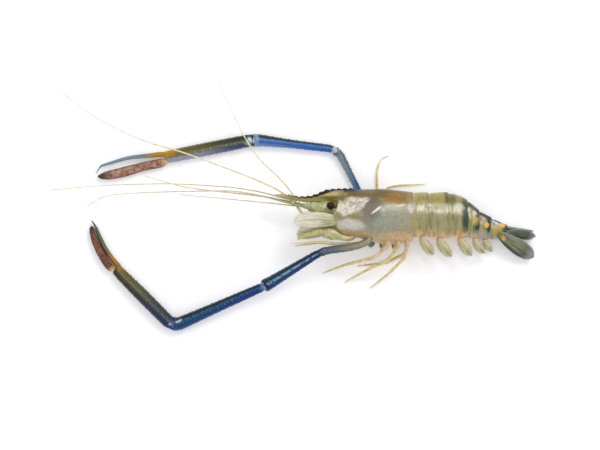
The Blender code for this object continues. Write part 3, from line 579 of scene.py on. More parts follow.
def makeStudio():
    scene = bpy.context.scene
    camera = bpy.data.cameras.new("camera")
    eye = bpy.data.objects.new("camera", camera)
    scene.collection.objects.link(eye)
    wide = view["pixelsWide"] * view["pixel"]
    camera.sensor_width = view["sensor"]
    camera.lens = view["sensor"] * view["height"] / wide
    camera.clip_end = 100.0
    aim = (np.array([*view["middle"], 0.0]) - centreOfFrame) * mm
    eye.location = (aim[0], aim[1], view["height"] * mm)
    scene.camera = eye

    half = view["floorSize"] / 2
    mesh = bpy.data.meshes.new("floor")
    corners = [(-half, -half, 0.0), (half, -half, 0.0), (half, half, 0.0), (-half, half, 0.0)]
    mesh.from_pydata(corners, [], [(0, 1, 2, 3)])
    paper, _, shader = newMaterial("whitePaper", specular=0.1)
    shader.inputs["Base Color"].default_value = (0.93, 0.93, 0.935, 1.0)
    shader.inputs["Roughness"].default_value = 0.9
    shader.inputs["Emission Color"].default_value = (1.0, 0.99, 1.0, 1.0)
    shader.inputs["Emission Strength"].default_value = view["floorGlow"]
    mesh.materials.append(paper)
    floor = bpy.data.objects.new("floor", mesh)
    scene.collection.objects.link(floor)

    world = bpy.data.worlds.new("sky")
    world.use_nodes = True
    sky = world.node_tree.nodes["Background"]
    sky.inputs["Color"].default_value = (0.96, 0.965, 1.0, 1.0)
    # the sky is dimmer in reflections, so wet dark shell keeps its depth of colour
    path = addNode(world.node_tree, "ShaderNodeLightPath")
    dimmed = addNode(world.node_tree, "ShaderNodeMapRange")
    world.node_tree.links.new(path.outputs["Is Glossy Ray"], dimmed.inputs["Value"])
    dimmed.inputs["To Min"].default_value = view["sky"]
    dimmed.inputs["To Max"].default_value = view["skyInGloss"]
    world.node_tree.links.new(dimmed.outputs["Result"], sky.inputs["Strength"])
    scene.world = world

    makeLamp("softbox", view["keyEnergy"], view["keySize"], view["keyPlace"])
    gleam = makeLamp("gleam", view["gleamEnergy"], view["gleamSize"], view["gleamPlace"])
    gleam.visible_diffuse = False
    gleam.visible_shadow = False
    scene.view_settings.view_transform = "Standard"


def makeLamp(name, energy, size, place):
    lamp = bpy.data.lights.new(name, "AREA")
    lamp.energy = energy
    lamp.size = size
    made = bpy.data.objects.new(name, lamp)
    bpy.context.scene.collection.objects.link(made)
    made.location = place
    made.rotation_euler = (-Vector(place)).to_track_quat("-Z", "Y").to_euler()
    return made


makeStudio()
print("studio ready")

# trunk
# Place along the body, back edge (x, y), belly edge (x, y), half width, height of the middle.
trunkTable = np.array([
    (-61.0, -61.0, 20.8, -61.0, -16.4, 11.0, 22.0),
    (-50.0, -50.0, 20.9, -50.0, -17.8, 13.6, 22.0),
    (-38.0, -38.0, 21.2, -38.0, -19.9, 15.4, 22.0),
    (-25.0, -25.0, 21.5, -25.0, -21.9, 16.5, 21.7),
    (-13.0, -13.0, 20.5, -13.0, -22.4, 16.4, 20.2),
    (-3.0, -3.0, 19.2, -3.0, -21.2, 15.9, 18.5),
    (0.0, 0.0, 18.9, 0.0, -19.8, 15.7, 18.0),
    (12.0, 12.0, 18.5, 12.0, -20.2, 15.6, 16.0),
    (28.0, 28.0, 18.7, 28.5, -20.4, 15.4, 14.7),
    (36.0, 36.0, 16.4, 36.6, -20.3, 14.8, 14.1),
    (44.0, 43.6, 12.4, 44.4, -20.0, 13.8, 13.1),
    (53.0, 53.2, 4.4, 52.6, -20.2, 11.4, 10.7),
    (62.0, 63.0, -1.4, 60.6, -20.6, 9.2, 8.6),
    (75.0, 76.0, -7.8, 73.4, -18.3, 6.4, 6.9),
])


def trunkPoints(place, turn):
    # Points of the skin, the trunk's centre there and how high each lies between belly (-1) and back (1).
    place, turn = np.broadcast_arrays(np.asarray(place, float), np.asarray(turn, float))
    row = smooth(trunkTable[:, 0], trunkTable[:, 1:], place.ravel()).reshape(place.shape + (6,))
    cosine = np.cos(turn)
    sine = np.sin(turn)
    power = np.where(cosine > 0, 0.95, 0.8)
    tall = np.sign(cosine) * np.abs(cosine) ** power
    wide = np.sign(sine) * np.abs(sine) ** 0.9 * (1.0 - 0.06 * cosine)
    middle = (row[..., 0:2] + row[..., 2:4]) / 2
    upward = (row[..., 0:2] - row[..., 2:4]) / 2
    flat = middle + upward * tall[..., None]
    centre = np.concatenate([middle, row[..., 5:6]], axis=-1)
    points = np.concatenate([flat, (row[..., 5] + row[..., 4] * wide)[..., None]], axis=-1)
    return points, centre, tall


def trunkRoot(place, turn):
    turn = math.radians(turn)
    here, centre, tall = trunkPoints(place, turn)
    if place < carapace["rear"]:
        here[0] += frontEdgeShift(place, turn, tall)
    along = trunkPoints(place + 0.5, turn)[0] - trunkPoints(place - 0.5, turn)[0]
    around = trunkPoints(place, turn + 0.02)[0] - trunkPoints(place, turn - 0.02)[0]
    out = np.cross(along, around)
    out /= np.linalg.norm(out)
    if np.dot(out[1:], (here - centre)[1:]) < 0:
        out = -out
    return here + out * jointGap, out


rooting = {"depth": 1.6, "reach": 3.0}


def rootedLine(place, turn, corners, bend):
    # Starts inside the trunk and leaves it straight outwards, for arms and legs.
    root, out = trunkRoot(place, turn)
    return roundedLine([root - out * rooting["depth"], root + out * rooting["reach"]] + corners, bend)


carapace = {
    "front": -61.0,
    "rear": 0.0,
    "rings": 170,
    "sides": 168,
    "cheekSlant": 13.0,
    "cheekFade": 40.0,
    "orbitNotch": 1.6,
    "spineReach": 2.2,
    "edgeLift": 0.3,
    # a line on the cheek or neck, how wide and how deep its groove is
    "grooves": [
        ([(-33.0, 20.0), (-37.0, 12.0), (-43.0, 3.0), (-52.0, -1.0)], 1.5, 0.45),
        ([(-58.0, -1.5), (-46.0, -4.0), (-30.0, -5.0), (-20.0, -3.0)], 1.3, 0.35),
    ],
    # how far in and how far back each ring of the front rim's inner wall lies
    "rim": [(0.35, -0.15), (0.9, 0.2), (1.3, 1.2), (1.8, 2.2)],
    "rearIn": 0.04,
    "pitDepth": 0.05,
    "roughness": 0.3,
}


def frontEdgeShift(place, turn, tall):
    c = carapace
    fade = np.maximum(0.0, 1.0 - (place - c["front"]) / c["cheekFade"]) ** 1.5
    low = np.maximum(0.0, (-tall - 0.4) / 0.6)
    near = np.maximum(0.0, 1.0 - (place - c["front"]) / 8.0)
    sideways = np.minimum(np.degrees(turn), 360.0 - np.degrees(turn))
    shift = c["cheekSlant"] * low**2.5
    shift = shift + near * c["orbitNotch"] * hump(sideways - 62.0, 16.0)
    shift = shift - near * c["spineReach"] * hump(sideways - 91.0, 7.0)
    return np.where(low > 0, shift * fade, shift)


def groove(points, line, width):
    # How near each point is to a line drawn on the animal's side, from 0 far off to 1 on it.
    line = softLine([(x, y, 0.0) for x, y in line], 60)[:, :2]
    flat = points[..., :2].reshape(-1, 2)
    nearest = np.full(len(flat), 1e9)
    for spotOnLine in line:
        nearest = np.minimum(nearest, ((flat - spotOnLine) ** 2).sum(axis=1))
    return hump(np.sqrt(nearest), width).reshape(points.shape[:-1])


def makeShellMaterial():
    made, tree, shader = newMaterial("shellSkin", coat=0.35, coatRoughness=0.16, subsurface=0.12,
                                     specular=0.3)
    place, wavy = bodyPlace(tree, 5.0, 0.09)
    tall = mark(tree, "tall")
    wobble = noise(tree, place, 0.1, 4.0)
    level = shaken(tree, tall, wobble, 0.5)
    colour = mixColour(tree, ramped(tree, level, -0.9, -0.45), rgb(202, 174, 128), rgb(168, 160, 126))
    colour = paint(tree, colour, ramped(tree, level, 0.12, 0.5), (148, 136, 94))
    colour = paint(tree, colour, ramped(tree, level, 0.55, 0.95), (112, 90, 36))
    # marks on the flanks stop short of the middle of the back and belly
    sideways = ramped(tree, mark(tree, "side"), 0.12, 0.42)
    colour = addSpots(tree, wavy, colour, (
        ((-25.0, -4.0), 19.0, 10.0, -6.0, 0.5, 0.8, (156, 160, 144)),
        ((-33.0, 7.5), 7.5, 9.0, 10.0, 0.45, 0.75, (116, 106, 92)),
        ((-36.0, -2.0), 4.5, 8.0, 0.0, 0.5, 0.45, (132, 120, 108)),
        ((-13.5, 13.5), 8.0, 5.6, 0.0, 0.5, 0.85, (160, 116, 50)),
        ((-50.5, -0.6), 11.0, 2.8, -6.0, 0.5, 0.8, (152, 136, 86)),
        ((-50.0, -7.2), 11.0, 4.6, -4.0, 0.35, 0.9, (212, 208, 198)),
        ((-46.0, -14.2), 9.0, 2.6, -12.0, 0.5, 0.7, (196, 164, 108)),
        ((-49.0, 17.4), 15.0, 2.6, 0.0, 0.5, 0.75, (124, 106, 60)),
        ((-58.0, 13.0), 5.0, 3.0, 40.0, 0.5, 0.6, (168, 160, 106)),
        ((-58.5, 17.2), 4.5, 1.0, 6.0, 0.8, 0.6, (196, 172, 118)),
        ((-47.0, 18.4), 9.0, 1.4, -4.0, 0.6, 0.7, (96, 80, 40)),
        ((-28.0, 20.8), 20.0, 1.8, 0.0, 0.5, 0.6, (70, 60, 24)),
        # the next two pale spots are painted highlights on the upper flank
        ((-9.5, 8.0), 3.4, 1.1, 12.0, 0.6, 0.8, (226, 216, 196)),
        ((-2.2, 6.5), 2.2, 3.8, 0.0, 0.6, 0.75, (212, 214, 206)),
        ((-2.6, 13.5), 2.6, 5.5, 0.0, 0.7, 0.6, (174, 156, 116)),
        ((-16.0, 7.4), 6.0, 1.2, 4.0, 0.6, 0.5, (196, 186, 160)),
        ((-12.0, -16.6), 15.0, 3.6, 0.0, 0.5, 0.6, (222, 182, 132)),
        ((-10.0, -12.0), 12.0, 4.0, 5.0, 0.6, 0.3, (178, 146, 122)),
    ), sideways)
    # the dark crest runs along the ridge only
    crest = times(tree, spot(tree, wavy, (-53.0, 21.0), 12.0, 3.0, 0.0, 0.35),
                  ramped(tree, mark(tree, "side"), 0.55, 0.36))
    colour = paint(tree, colour, crest, (22, 24, 10), 0.96)
    # the milky patch behind the eye, broken up by darker holes
    blotches = noise(tree, place, 0.3, 3.0, 0.6)
    solid = maths(tree, "ADD", 0.4, times(tree, ramped(tree, blotches.outputs[0], 0.38, 0.56), 0.6))
    patch = spot(tree, wavy, (-50.0, 8.6), 12.0, 6.0, 8.0, 0.25)
    patchTail = spot(tree, wavy, (-52.0, 3.6), 6.0, 3.4, 30.0, 0.3)
    patchTip = spot(tree, wavy, (-39.5, 11.4), 5.0, 2.2, 20.0, 0.4)
    whole = maths(tree, "MAXIMUM", maths(tree, "MAXIMUM", patch, patchTail), patchTip)
    colour = paint(tree, colour, times(tree, whole, solid), (240, 230, 216))
    glint = spot(tree, place, (-29.4, 4.7), 4.8, 0.9, 38.0, 0.35)
    colour = paint(tree, colour, glint, (240, 230, 220))
    freckles = noise(tree, place, 1.3, 2.0)
    colour = paint(tree, colour, ramped(tree, freckles.outputs[0], 0.6, 0.72), (122, 104, 66), 0.55)
    colour = grainy(tree, place, colour, 0.5, 0.35)
    dullCoat(tree, shader, crest)
    edge = times(tree, mark(tree, "edge"), ramped(tree, tall, 0.5, 0.1))
    colour = paint(tree, colour, edge, (176, 150, 100), 0.5)
    wetSkin(tree, shader, place, colour, 1.6, carapace["pitDepth"], 0.25, carapace["roughness"])
    return made


def makeCarapace():
    c = carapace
    turn = np.arange(c["sides"]) * 2.0 * math.pi / c["sides"]
    steps = np.linspace(0.0, 1.0, c["rings"])
    place = (c["rear"] - jointGap / 2) + (c["front"] - c["rear"] + jointGap / 2) * steps
    place = place[:, None]
    points, centre, tall = trunkPoints(place, turn[None, :])
    points = points.copy()
    points[..., 0] += frontEdgeShift(place, turn[None, :], tall)
    out = points - centre
    out[..., 0] = 0.0
    out /= np.linalg.norm(out, axis=-1, keepdims=True)
    # grooves across the cheek and behind the head, and a rolled edge at each end
    relief = c["edgeLift"] * (hump(place - c["rear"], 1.6) + hump(place - c["front"], 1.4))
    for line, width, depth in c["grooves"]:
        relief = relief - depth * groove(points, line, width)
    points += out * relief[..., None]
    points[..., 2] = np.maximum(points[..., 2], floorClear)
    rear = points[0] + (points[0].mean(axis=0) - points[0]) * c["rearIn"]
    rings = [rear[None], points]
    inward = points[-1].mean(axis=0) - points[-1]
    inward[:, 0] = 0.0
    inward /= np.linalg.norm(inward, axis=1)[:, None]
    for wall, depth in c["rim"]:
        rings.append((points[-1] + inward * wall + (depth, 0.0, 0.0))[None])
    rings = np.concatenate(rings)
    edge = np.maximum(hump(place - c["rear"], 1.2), hump(place - c["front"], 1.2))
    marks = {"tall": tall, "edge": np.broadcast_to(edge, tall.shape)}
    for label, values in marks.items():
        marks[label] = np.vstack([values[:1], values, np.repeat(values[-1:], len(c["rim"]), axis=0)])
    marks["side"] = np.abs(np.sin(turn))
    end = rings[-1].mean(axis=0) + (1.0, 0.0, 0.0)
    loftPiece("carapaceShell", rings, makeShellMaterial(), marks, ("carapace",), lastPole=end)


makeCarapace()
print("carapace ready")

# beak
beak = {
    "table": np.array([
        (-110.8, 16.9, 16.4, 0.35),
        (-105.0, 17.6, 15.0, 0.7),
        (-98.0, 16.3, 13.2, 0.95),
        (-89.0, 15.0, 11.6, 1.15),
        (-82.0, 15.4, 10.8, 1.4),
        (-75.0, 17.6, 11.0, 1.9),
        (-69.0, 20.2, 11.3, 2.4),
        (-61.0, 21.1, 12.4, 3.0),
        (-50.0, 21.4, 15.0, 3.0),
        (-42.0, 20.4, 17.4, 2.0),
    ]),
    "spacing": 0.22,
    "sides": 32,
    "upper": (12, -104.0, -46.0, 0.95),
    "lower": (8, -103.0, -79.0, 0.7),
    # place, middle, half height and half width of the shoulders between shell and beak
    "shoulders": np.array([
        (-55.0, 13.6, 7.0, 11.0),
        (-59.0, 14.6, 6.2, 9.6),
        (-62.0, 15.6, 5.2, 7.4),
        (-66.0, 16.2, 4.2, 4.6),
        (-71.0, 15.6, 3.4, 2.6),
        (-77.0, 14.2, 2.4, 1.5),
    ]),
    "crestHalf": 2.6,
}


def toothLine(x, teeth):
    count, start, end, height = teeth
    share = (x - start) / (end - start) * count % 1.0
    rise = np.where(share > 0.15, (1.0 - share) ** 1.3 / 0.85**1.3, share / 0.15)
    return np.where((x >= start) & (x <= end), height * rise, 0.0)


def makeBeakMaterial():
    made, tree, shader = newMaterial("beakSkin", coat=0.35, coatRoughness=0.16, subsurface=0.1, specular=0.3)
    place, wavy = bodyPlace(tree, 1.5, 0.3)
    tall = mark(tree, "tall")
    share = mark(tree, "share")
    colour = mixColour(tree, ramped(tree, tall, -0.7, 0.3), rgb(176, 170, 112), rgb(150, 134, 70))
    colour = addSpots(tree, wavy, colour, (
        ((-65.5, 17.0), 8.5, 1.2, 4.0, 0.6, 0.85, (220, 194, 140)),
        ((-66.0, 14.4), 10.0, 1.5, 0.0, 0.5, 0.7, (126, 112, 44)),
        ((-52.0, 17.0), 6.0, 8.0, 0.0, 0.8, 0.85, (122, 102, 54)),
    ))
    colour = paint(tree, colour, ramped(tree, share, 0.22, 0.02), (222, 200, 160))
    dark = times(tree, ramped(tree, tall, 0.26, 0.5), ramped(tree, share, 0.08, 0.42))
    colour = paint(tree, colour, dark, (20, 22, 10), 0.96)
    dullCoat(tree, shader, dark)
    colour = grainy(tree, place, colour, 0.9, 0.4)
    wetSkin(tree, shader, place, colour, 2.0, 0.04, 0.12, 0.32)
    return made


def headRings(x, y, off):
    # Rings round the middle of the head, one for each x.
    return np.stack(np.broadcast_arrays(x[:, None], y, headHeight + off), axis=-1)


def shareOf(x, whole):
    return ((x - whole[0]) / (whole[-1] - whole[0]))[:, None]


def makeBeak():
    table = beak["table"]
    x = np.arange(table[0, 0], table[-1, 0], beak["spacing"])
    top, bottom, thick = smooth(table[:, 0], table[:, 1:], x).T
    top = top + toothLine(x, beak["upper"])
    bottom = bottom - toothLine(x, beak["lower"])
    turn = np.arange(beak["sides"]) * 2.0 * math.pi / beak["sides"]
    cosine = np.cos(turn)[None, :]
    sine = np.sin(turn)[None, :]
    middle = ((top + bottom) / 2)[:, None]
    half = ((top - bottom) / 2)[:, None]
    ridge = 1.0 + 0.35 * hump(cosine + 0.1, 0.22)
    side = thick[:, None] * np.sign(sine) * np.abs(sine) ** 1.3 * (1.0 - 0.45 * cosine) * ridge * 0.85
    rings = headRings(x, middle + half * cosine, side)
    marks = {"tall": cosine, "share": shareOf(x, x)}
    skin = makeBeakMaterial()
    loftPiece("beakBlade", rings, skin, marks, ("carapace",))

    # shoulders that narrow from the shell into the beak; only their ridge carries the dark crest
    table = beak["shoulders"][::-1]
    along = np.linspace(table[0, 0], table[-1, 0], 50)
    middle, half, wide = (value[:, None] for value in smooth(table[:, 0], table[:, 1:], along).T)
    off = wide * np.sign(sine) * np.abs(sine) ** 1.1
    fade = np.clip((np.abs(off) - beak["crestHalf"]) / beak["crestHalf"], 0.0, 1.0)
    marks = {"tall": cosine - (cosine + 0.2) * fade * (cosine > 0), "share": shareOf(along, x)}
    loftPiece("beakShoulders", headRings(along, middle + half * cosine, off), skin, marks, ())


makeBeak()
print("beak ready")

# tail rings
somites = {
    "ends": [0.0, 12.0, 28.0, 44.0, 53.0, 62.0, 75.0],
    "rings": 44,
    "sides": 150,
    "under": 1.8,
    "tuck": 0.9,
    "lip": 0.4,
    "lobe": 0.05,
    "hollow": 0.16,
    "lobeForward": 5.0,
    "lobeBack": 3.6,
}


def somiteEdge(number, place, tall):
    low = np.maximum(0.0, -tall - 0.1) / 0.9
    if number == 1:
        return place - somites["lobeForward"] * low**1.5
    if number == 2:
        return place + somites["lobeBack"] * low**1.5
    return place - 1.2 * low if 0 < number < 6 else np.full(low.shape, place)


def makeSomiteMaterial():
    made, tree, shader = newMaterial("ringSkin", coat=0.35, coatRoughness=0.16, subsurface=0.12, specular=0.3)
    place, wavy = bodyPlace(tree, 3.0, 0.14)
    tall = mark(tree, "tall")
    share = mark(tree, "share")
    number = mark(tree, "number")
    wobble = noise(tree, place, 0.12, 4.0)
    level = shaken(tree, tall, wobble, 0.5)
    belly = mixColour(tree, ramped(tree, number, 3.2, 5.0), rgb(216, 182, 132), rgb(172, 164, 150))
    belly = paint(tree, belly, ramped(tree, mark(tree, "side"), 0.4, 0.1), (226, 208, 172))
    colour = mixColour(tree, ramped(tree, level, -0.8, -0.4), belly, rgb(160, 152, 108))
    colour = paint(tree, colour, ramped(tree, level, 0.3, 0.75), (162, 150, 82))
    # thin upright streaks, as the muscle shows through the shell
    stretch = addNode(tree, "ShaderNodeMapping")
    stretch.inputs["Scale"].default_value = (1.0, 0.16, 0.3)
    tree.links.new(wavy, stretch.inputs["Vector"])
    streaks = noise(tree, stretch.outputs[0], 0.42, 2.0)
    colour = paint(tree, colour, ramped(tree, streaks.outputs[0], 0.48, 0.64), (106, 108, 74), 0.5)
    # a broken pale band high on the flanks: partly the shell's own milky colour, partly painted highlight
    milkAndSheen = noise(tree, stretch.outputs[0], 0.42, 3.0)
    upper = times(tree, ramped(tree, level, 0.1, 0.3), ramped(tree, level, 0.72, 0.45))
    milkAndSheenMask = times(tree, times(tree, ramped(tree, milkAndSheen.outputs[0], 0.42, 0.6), upper), 0.75)
    colour = paint(tree, colour, milkAndSheenMask, (212, 206, 176))
    # dark band on each rear edge, deeper towards the tail
    wavyShare = shaken(tree, share, wobble, 0.2)
    tailward = ramped(tree, number, 0.5, 3.6)
    bandFrom = maths(tree, "SUBTRACT", 0.86, times(tree, tailward, 0.27))
    band = ramped(tree, wavyShare, bandFrom, maths(tree, "ADD", bandFrom, 0.2))
    lowEdge = maths(tree, "SUBTRACT", 0.15, times(tree, ramped(tree, number, 2.1, 2.9), 0.9))
    high = ramped(tree, level, lowEdge, maths(tree, "ADD", lowEdge, 0.6))
    bandStrength = maths(tree, "ADD", 0.45, times(tree, tailward, 0.48))
    band = times(tree, times(tree, band, high), bandStrength)
    colour = paint(tree, colour, band, (38, 60, 46))
    backDark = times(tree, ramped(tree, tall, 0.6, 0.85), ramped(tree, number, 2.6, 4.2))
    colour = paint(tree, colour, backDark, (20, 24, 10), 0.95)
    dullCoat(tree, shader, backDark)
    colour = addSpots(tree, wavy, colour, (
        ((1.2, -6.0), 1.3, 14.0, 0.0, 0.5, 0.5, (200, 168, 116)),
        # the next five pale spots are painted highlights along the upper flank
        ((4.8, 6.2), 3.6, 2.0, -20.0, 0.6, 0.5, (222, 216, 194)),
        ((12.8, 8.4), 2.4, 1.3, 0.0, 0.5, 0.75, (222, 216, 190)),
        ((26.0, 7.6), 8.0, 2.0, -8.0, 0.6, 0.5, (206, 200, 162)),
        ((36.2, 7.6), 4.4, 2.2, -22.0, 0.6, 0.55, (222, 222, 204)),
        ((44.0, 5.4), 1.1, 1.8, -10.0, 0.5, 0.8, (222, 226, 220)),
        ((49.4, 2.2), 1.9, 1.1, -60.0, 0.8, 0.7, (226, 216, 196)),
        ((55.4, -1.4), 1.9, 0.9, -40.0, 0.8, 0.7, (214, 218, 214)),
        ((50.0, -4.4), 3.0, 2.6, 80.0, 0.5, 0.8, (206, 178, 92)),
        ((58.6, -7.2), 2.3, 1.9, 80.0, 0.4, 0.95, (244, 180, 96)),
        ((67.2, -11.8), 5.2, 2.8, 35.0, 0.6, 0.85, (176, 152, 70)),
        ((0.6, 15.0), 1.8, 5.5, 0.0, 0.7, 0.6, (196, 172, 124)),
        ((71.6, -7.6), 2.7, 1.7, -10.0, 0.4, 0.95, (244, 178, 92)),
        # the thin bluish white streak next is a painted highlight on the sixth ring's back edge
        ((66.0, -5.2), 3.6, 0.9, -24.0, 0.5, 0.85, (206, 216, 226)),
        ((17.4, -15.8), 1.6, 1.3, 0.0, 0.8, 0.55, (222, 140, 92)),
        ((37.0, -14.2), 1.7, 1.9, 0.0, 0.8, 0.45, (216, 146, 94)),
        ((55.0, -15.0), 5.0, 3.6, 0.0, 0.6, 0.5, (184, 174, 160)),
        ((28.0, -9.0), 10.0, 2.6, -3.0, 0.6, 0.3, (178, 160, 120)),
        ((31.0, 13.0), 3.2, 6.0, 0.0, 0.5, 0.5, (52, 66, 44)),
        ((51.0, -6.0), 1.6, 7.0, -34.0, 0.5, 0.5, (44, 66, 60)),
    ), ramped(tree, mark(tree, "side"), 0.12, 0.42))
    low = times(tree, times(tree, ramped(tree, level, -0.5, -0.8), 0.55),
                ramped(tree, number, 5.0, 3.5))
    speckles = noise(tree, place, 0.8, 3.0)
    colour = paint(tree, colour, times(tree, low, ramped(tree, speckles.outputs[0], 0.54, 0.66)),
                   (222, 148, 96))
    colour = grainy(tree, place, colour, 0.6, 0.18)
    wetSkin(tree, shader, place, colour, 1.6, 0.03, 0.22, 0.3)
    return made


def makeSomites():
    s = somites
    skin = makeSomiteMaterial()
    turn = np.arange(s["sides"]) * 2.0 * math.pi / s["sides"]
    share = (1.0 - np.cos(np.linspace(0.0, math.pi, s["rings"]))) / 2
    for number in range(1, 7):
        tall = trunkPoints(s["ends"][number], turn)[2]
        front = somiteEdge(number - 1, s["ends"][number - 1], tall) - s["under"]
        rear = somiteEdge(number, s["ends"][number], tall) - jointGap / 2
        place = front[None, :] + (rear - front)[None, :] * share[:, None]
        points, centre, _ = trunkPoints(place, turn[None, :])
        out = points - centre
        lobe = 1.0 - s["lobe"] * (2.0 * share[:, None] - 1.0) ** 2 * np.maximum(0.0, -tall)[None, :]
        away = np.degrees(np.abs(turn - math.pi))[None, :] / 32.0
        hollow = 1.0 - s["hollow"] * np.exp(-away * away)
        length = np.linalg.norm(out, axis=-1, keepdims=True)
        span = (rear - front).mean()
        along = share[:, None] * span
        relief = s["lip"] * share[:, None] - s["tuck"] * (1.0 - share[:, None]) ** 3
        relief = relief - 0.35 * hump(along - 0.22 * span, 0.8) + 0.12 * hump(span - along, 0.9)
        relief = relief - 0.3 * hump(share[:, None], 0.05) - 0.35 * hump(1.0 - share[:, None], 0.02)
        points = centre + out * (lobe * hollow)[..., None] * (1.0 + relief[..., None] / length)
        points[..., 2] = np.maximum(points[..., 2], floorClear)
        marks = {"tall": tall, "share": share[:, None], "number": float(number), "side": np.abs(np.sin(turn))}
        loftPiece("tailRing%d" % number, points, skin, marks, ("somite_%d" % number,))


makeSomites()
print("tail rings ready")

# tail fan and swimming paddles
def makeHairMaterial(name, dark, light):
    made, tree, shader = newMaterial(name)
    place = bodyPlace(tree)[0]
    colour = twoTones(tree, place, dark, light, 1.6, 0.35, 0.65, Detail=2.0)
    tree.links.new(colour, shader.inputs["Base Color"])
    shader.inputs["Roughness"].default_value = 0.6
    return made


fan = {
    "blades": [
        ("uropod_outer_left", [(69.6, -15.0, 15.2), (80.0, -22.0, 12.2), (97.2, -33.2, 6.6)], 7.4, -12.0),
        ("uropod_inner_left", [(75.3, -13.2, 10.9), (86.0, -13.6, 10.9), (98.6, -16.4, 8.4)], 4.4, -20.0),
        ("uropod_outer_right", [(73.5, -18.2, 4.1), (83.4, -24.4, 3.4), (96.4, -32.2, 1.6)], 7.0, 6.0),
        ("uropod_inner_right", [(74.9, -14.2, 4.4), (86.0, -15.0, 3.6), (97.4, -17.4, 2.6)], 4.0, 10.0),
    ],
    "halfThick": 0.8,
    "fringe": 1.1,
    "rootDepth": 2.4,
    "bend": 6.0,
    "telson": [(75.8, -9.6, 7.0), (86.0, -11.0, 6.8), (96.8, -12.0, 6.4)],
    "telsonProfile": [
        (0.0, 1.5, 3.36, 0.0), (0.15, 1.65, 4.2, 0.0), (0.5, 1.35, 3.36, 0.0), (0.85, 0.9, 2.1, 0.0),
        (1.0, 0.45, 0.63, 0.0),
    ],
    "sides": 72,
    "spacing": 0.35,
}
paddles = {
    "places": [
        (6.5, 15.0, 1.4), (20.0, 16.0, 1.1), (36.5, 15.0, 1.05), (48.8, 12.5, 0.65), (57.6, 10.0, 0.5),
    ],
    "turn": 28.0,
    "halfWidth": 0.21,
    "thick": 0.85,
    "sunk": 0.5,
    # where the bend and the tip lie, as shares of the length, and how far they lean out
    "knee": (0.22, -0.45, 0.5),
    "tip": (0.62, -0.86, -0.5),
    "hair": 1.6,
}
fringe = {"perRing": 3, "sunk": 0.15, "scatter": 0.08, "shortest": 0.7, "width": 0.1, "tipLean": 1.6,
          "seed": 7}


def bladeProfile(halfWidth, halfThick, root=0.35):
    shares = [0.0, 0.12, 0.35, 0.62, 0.84, 0.95, 1.0]
    widths = [root, root + 0.25, 0.88, 1.0, 0.86, 0.55, 0.22]
    return [(share, halfWidth * width, halfThick * (1.15 - 0.5 * share), 0.0)
            for share, width in zip(shares, widths)]


def bladeRelief(place, turn, length):
    # A raised midrib with two side ribs, and edges that thin out.
    sideways = np.cos(turn)
    upper = np.abs(np.sin(turn))
    share = place / length
    rib = 0.28 * hump(sideways, 0.08) + 0.16 * hump(np.abs(sideways) - 0.45, 0.06)
    return rib * upper * (1.0 - 0.7 * share) * np.minimum(1.0, share * 8.0)


def alongStreaks(tree, scaleAlong, scaleAcross, detail=4.0):
    # Noise drawn out along a piece, so that its streaks run from root to tip.
    joined = addNode(tree, "ShaderNodeCombineXYZ")
    tree.links.new(times(tree, mark(tree, "share"), scaleAlong), joined.inputs["X"])
    tree.links.new(times(tree, mark(tree, "across"), scaleAcross), joined.inputs["Y"])
    tree.links.new(mark(tree, "above"), joined.inputs["Z"])
    return noise(tree, joined.outputs[0], 1.0, detail).outputs[0]


def makeFanMaterial():
    made, tree, shader = newMaterial("fanSkin", coat=0.3, coatRoughness=0.2, subsurface=0.1)
    place, wavy = bodyPlace(tree, 1.6, 0.3)
    share = mark(tree, "share")
    across = mark(tree, "across")
    away = maths(tree, "ABSOLUTE", across)
    streaks = alongStreaks(tree, 1.6, 4.5)
    colour = mixColour(tree, ramped(tree, streaks, 0.38, 0.6), rgb(72, 88, 68), rgb(142, 144, 116))
    fine = alongStreaks(tree, 2.0, 14.0)
    colour = paint(tree, colour, ramped(tree, fine, 0.52, 0.62), (48, 66, 50), 0.5)
    colour = paint(tree, colour, ramped(tree, away, 0.1, 0.0), (150, 154, 124), 0.6)
    front = times(tree, ramped(tree, across, 0.5, 0.8), ramped(tree, share, 0.95, 0.7))
    colour = paint(tree, colour, front, (40, 62, 50), 0.85)
    colour = paint(tree, colour, ramped(tree, share, 0.3, 0.05), (120, 128, 96), 0.6)
    rim = maths(tree, "MAXIMUM", ramped(tree, away, 0.88, 0.99), ramped(tree, share, 0.74, 0.95))
    colour = paint(tree, colour, rim, (164, 152, 158), 0.7)
    colour = addSpots(tree, wavy, colour, (
        ((78.0, -11.4), 4.5, 1.2, -25.0, 0.5, 0.8, (112, 140, 150)),
        ((72.0, -17.4), 2.6, 1.6, -60.0, 0.5, 0.9, (232, 172, 90)),
        ((70.6, -15.0), 2.2, 1.6, -60.0, 0.5, 0.7, (130, 120, 50)),
        ((86.0, -13.4), 9.0, 2.6, -8.0, 0.7, 0.6, (56, 76, 58)),
    ))
    colour = grainy(tree, place, colour, 1.2, 0.35)
    wetSkin(tree, shader, place, colour, 2.4, 0.04, 0.12, 0.34)
    return made


def makeTailFan():
    skin = makeFanMaterial()
    hairSkin = makeHairMaterial("fringeHair", (150, 140, 140), (206, 198, 190))
    for name, corners, halfWidth, roll in fan["blades"]:
        line = roundedLine(sunkRoot(corners, fan["rootDepth"]), fan["bend"])
        end = lengthAlong(line)[-1]
        profile = bladeProfile(halfWidth - fan["fringe"] * 0.8, fan["halfThick"])
        rings, marks, _, _ = limbRings(line, 0.0, end - fan["fringe"], profile, fan["sides"],
                                       fan["spacing"], roll, relief=bladeRelief)
        label = name.replace("_", "")
        loftPiece(label, rings, skin, marks, (name,))
        makeFringe(label + "Fringe", rings, 0.45, fan["fringe"] * 0.85, hairSkin)
    line = roundedLine(sunkRoot(fan["telson"], fan["rootDepth"]), fan["bend"])
    limbPiece("telsonPoint", line, fan["telsonProfile"], fan["sides"], fan["spacing"], skin, ("telson",),
              "tail_fan")


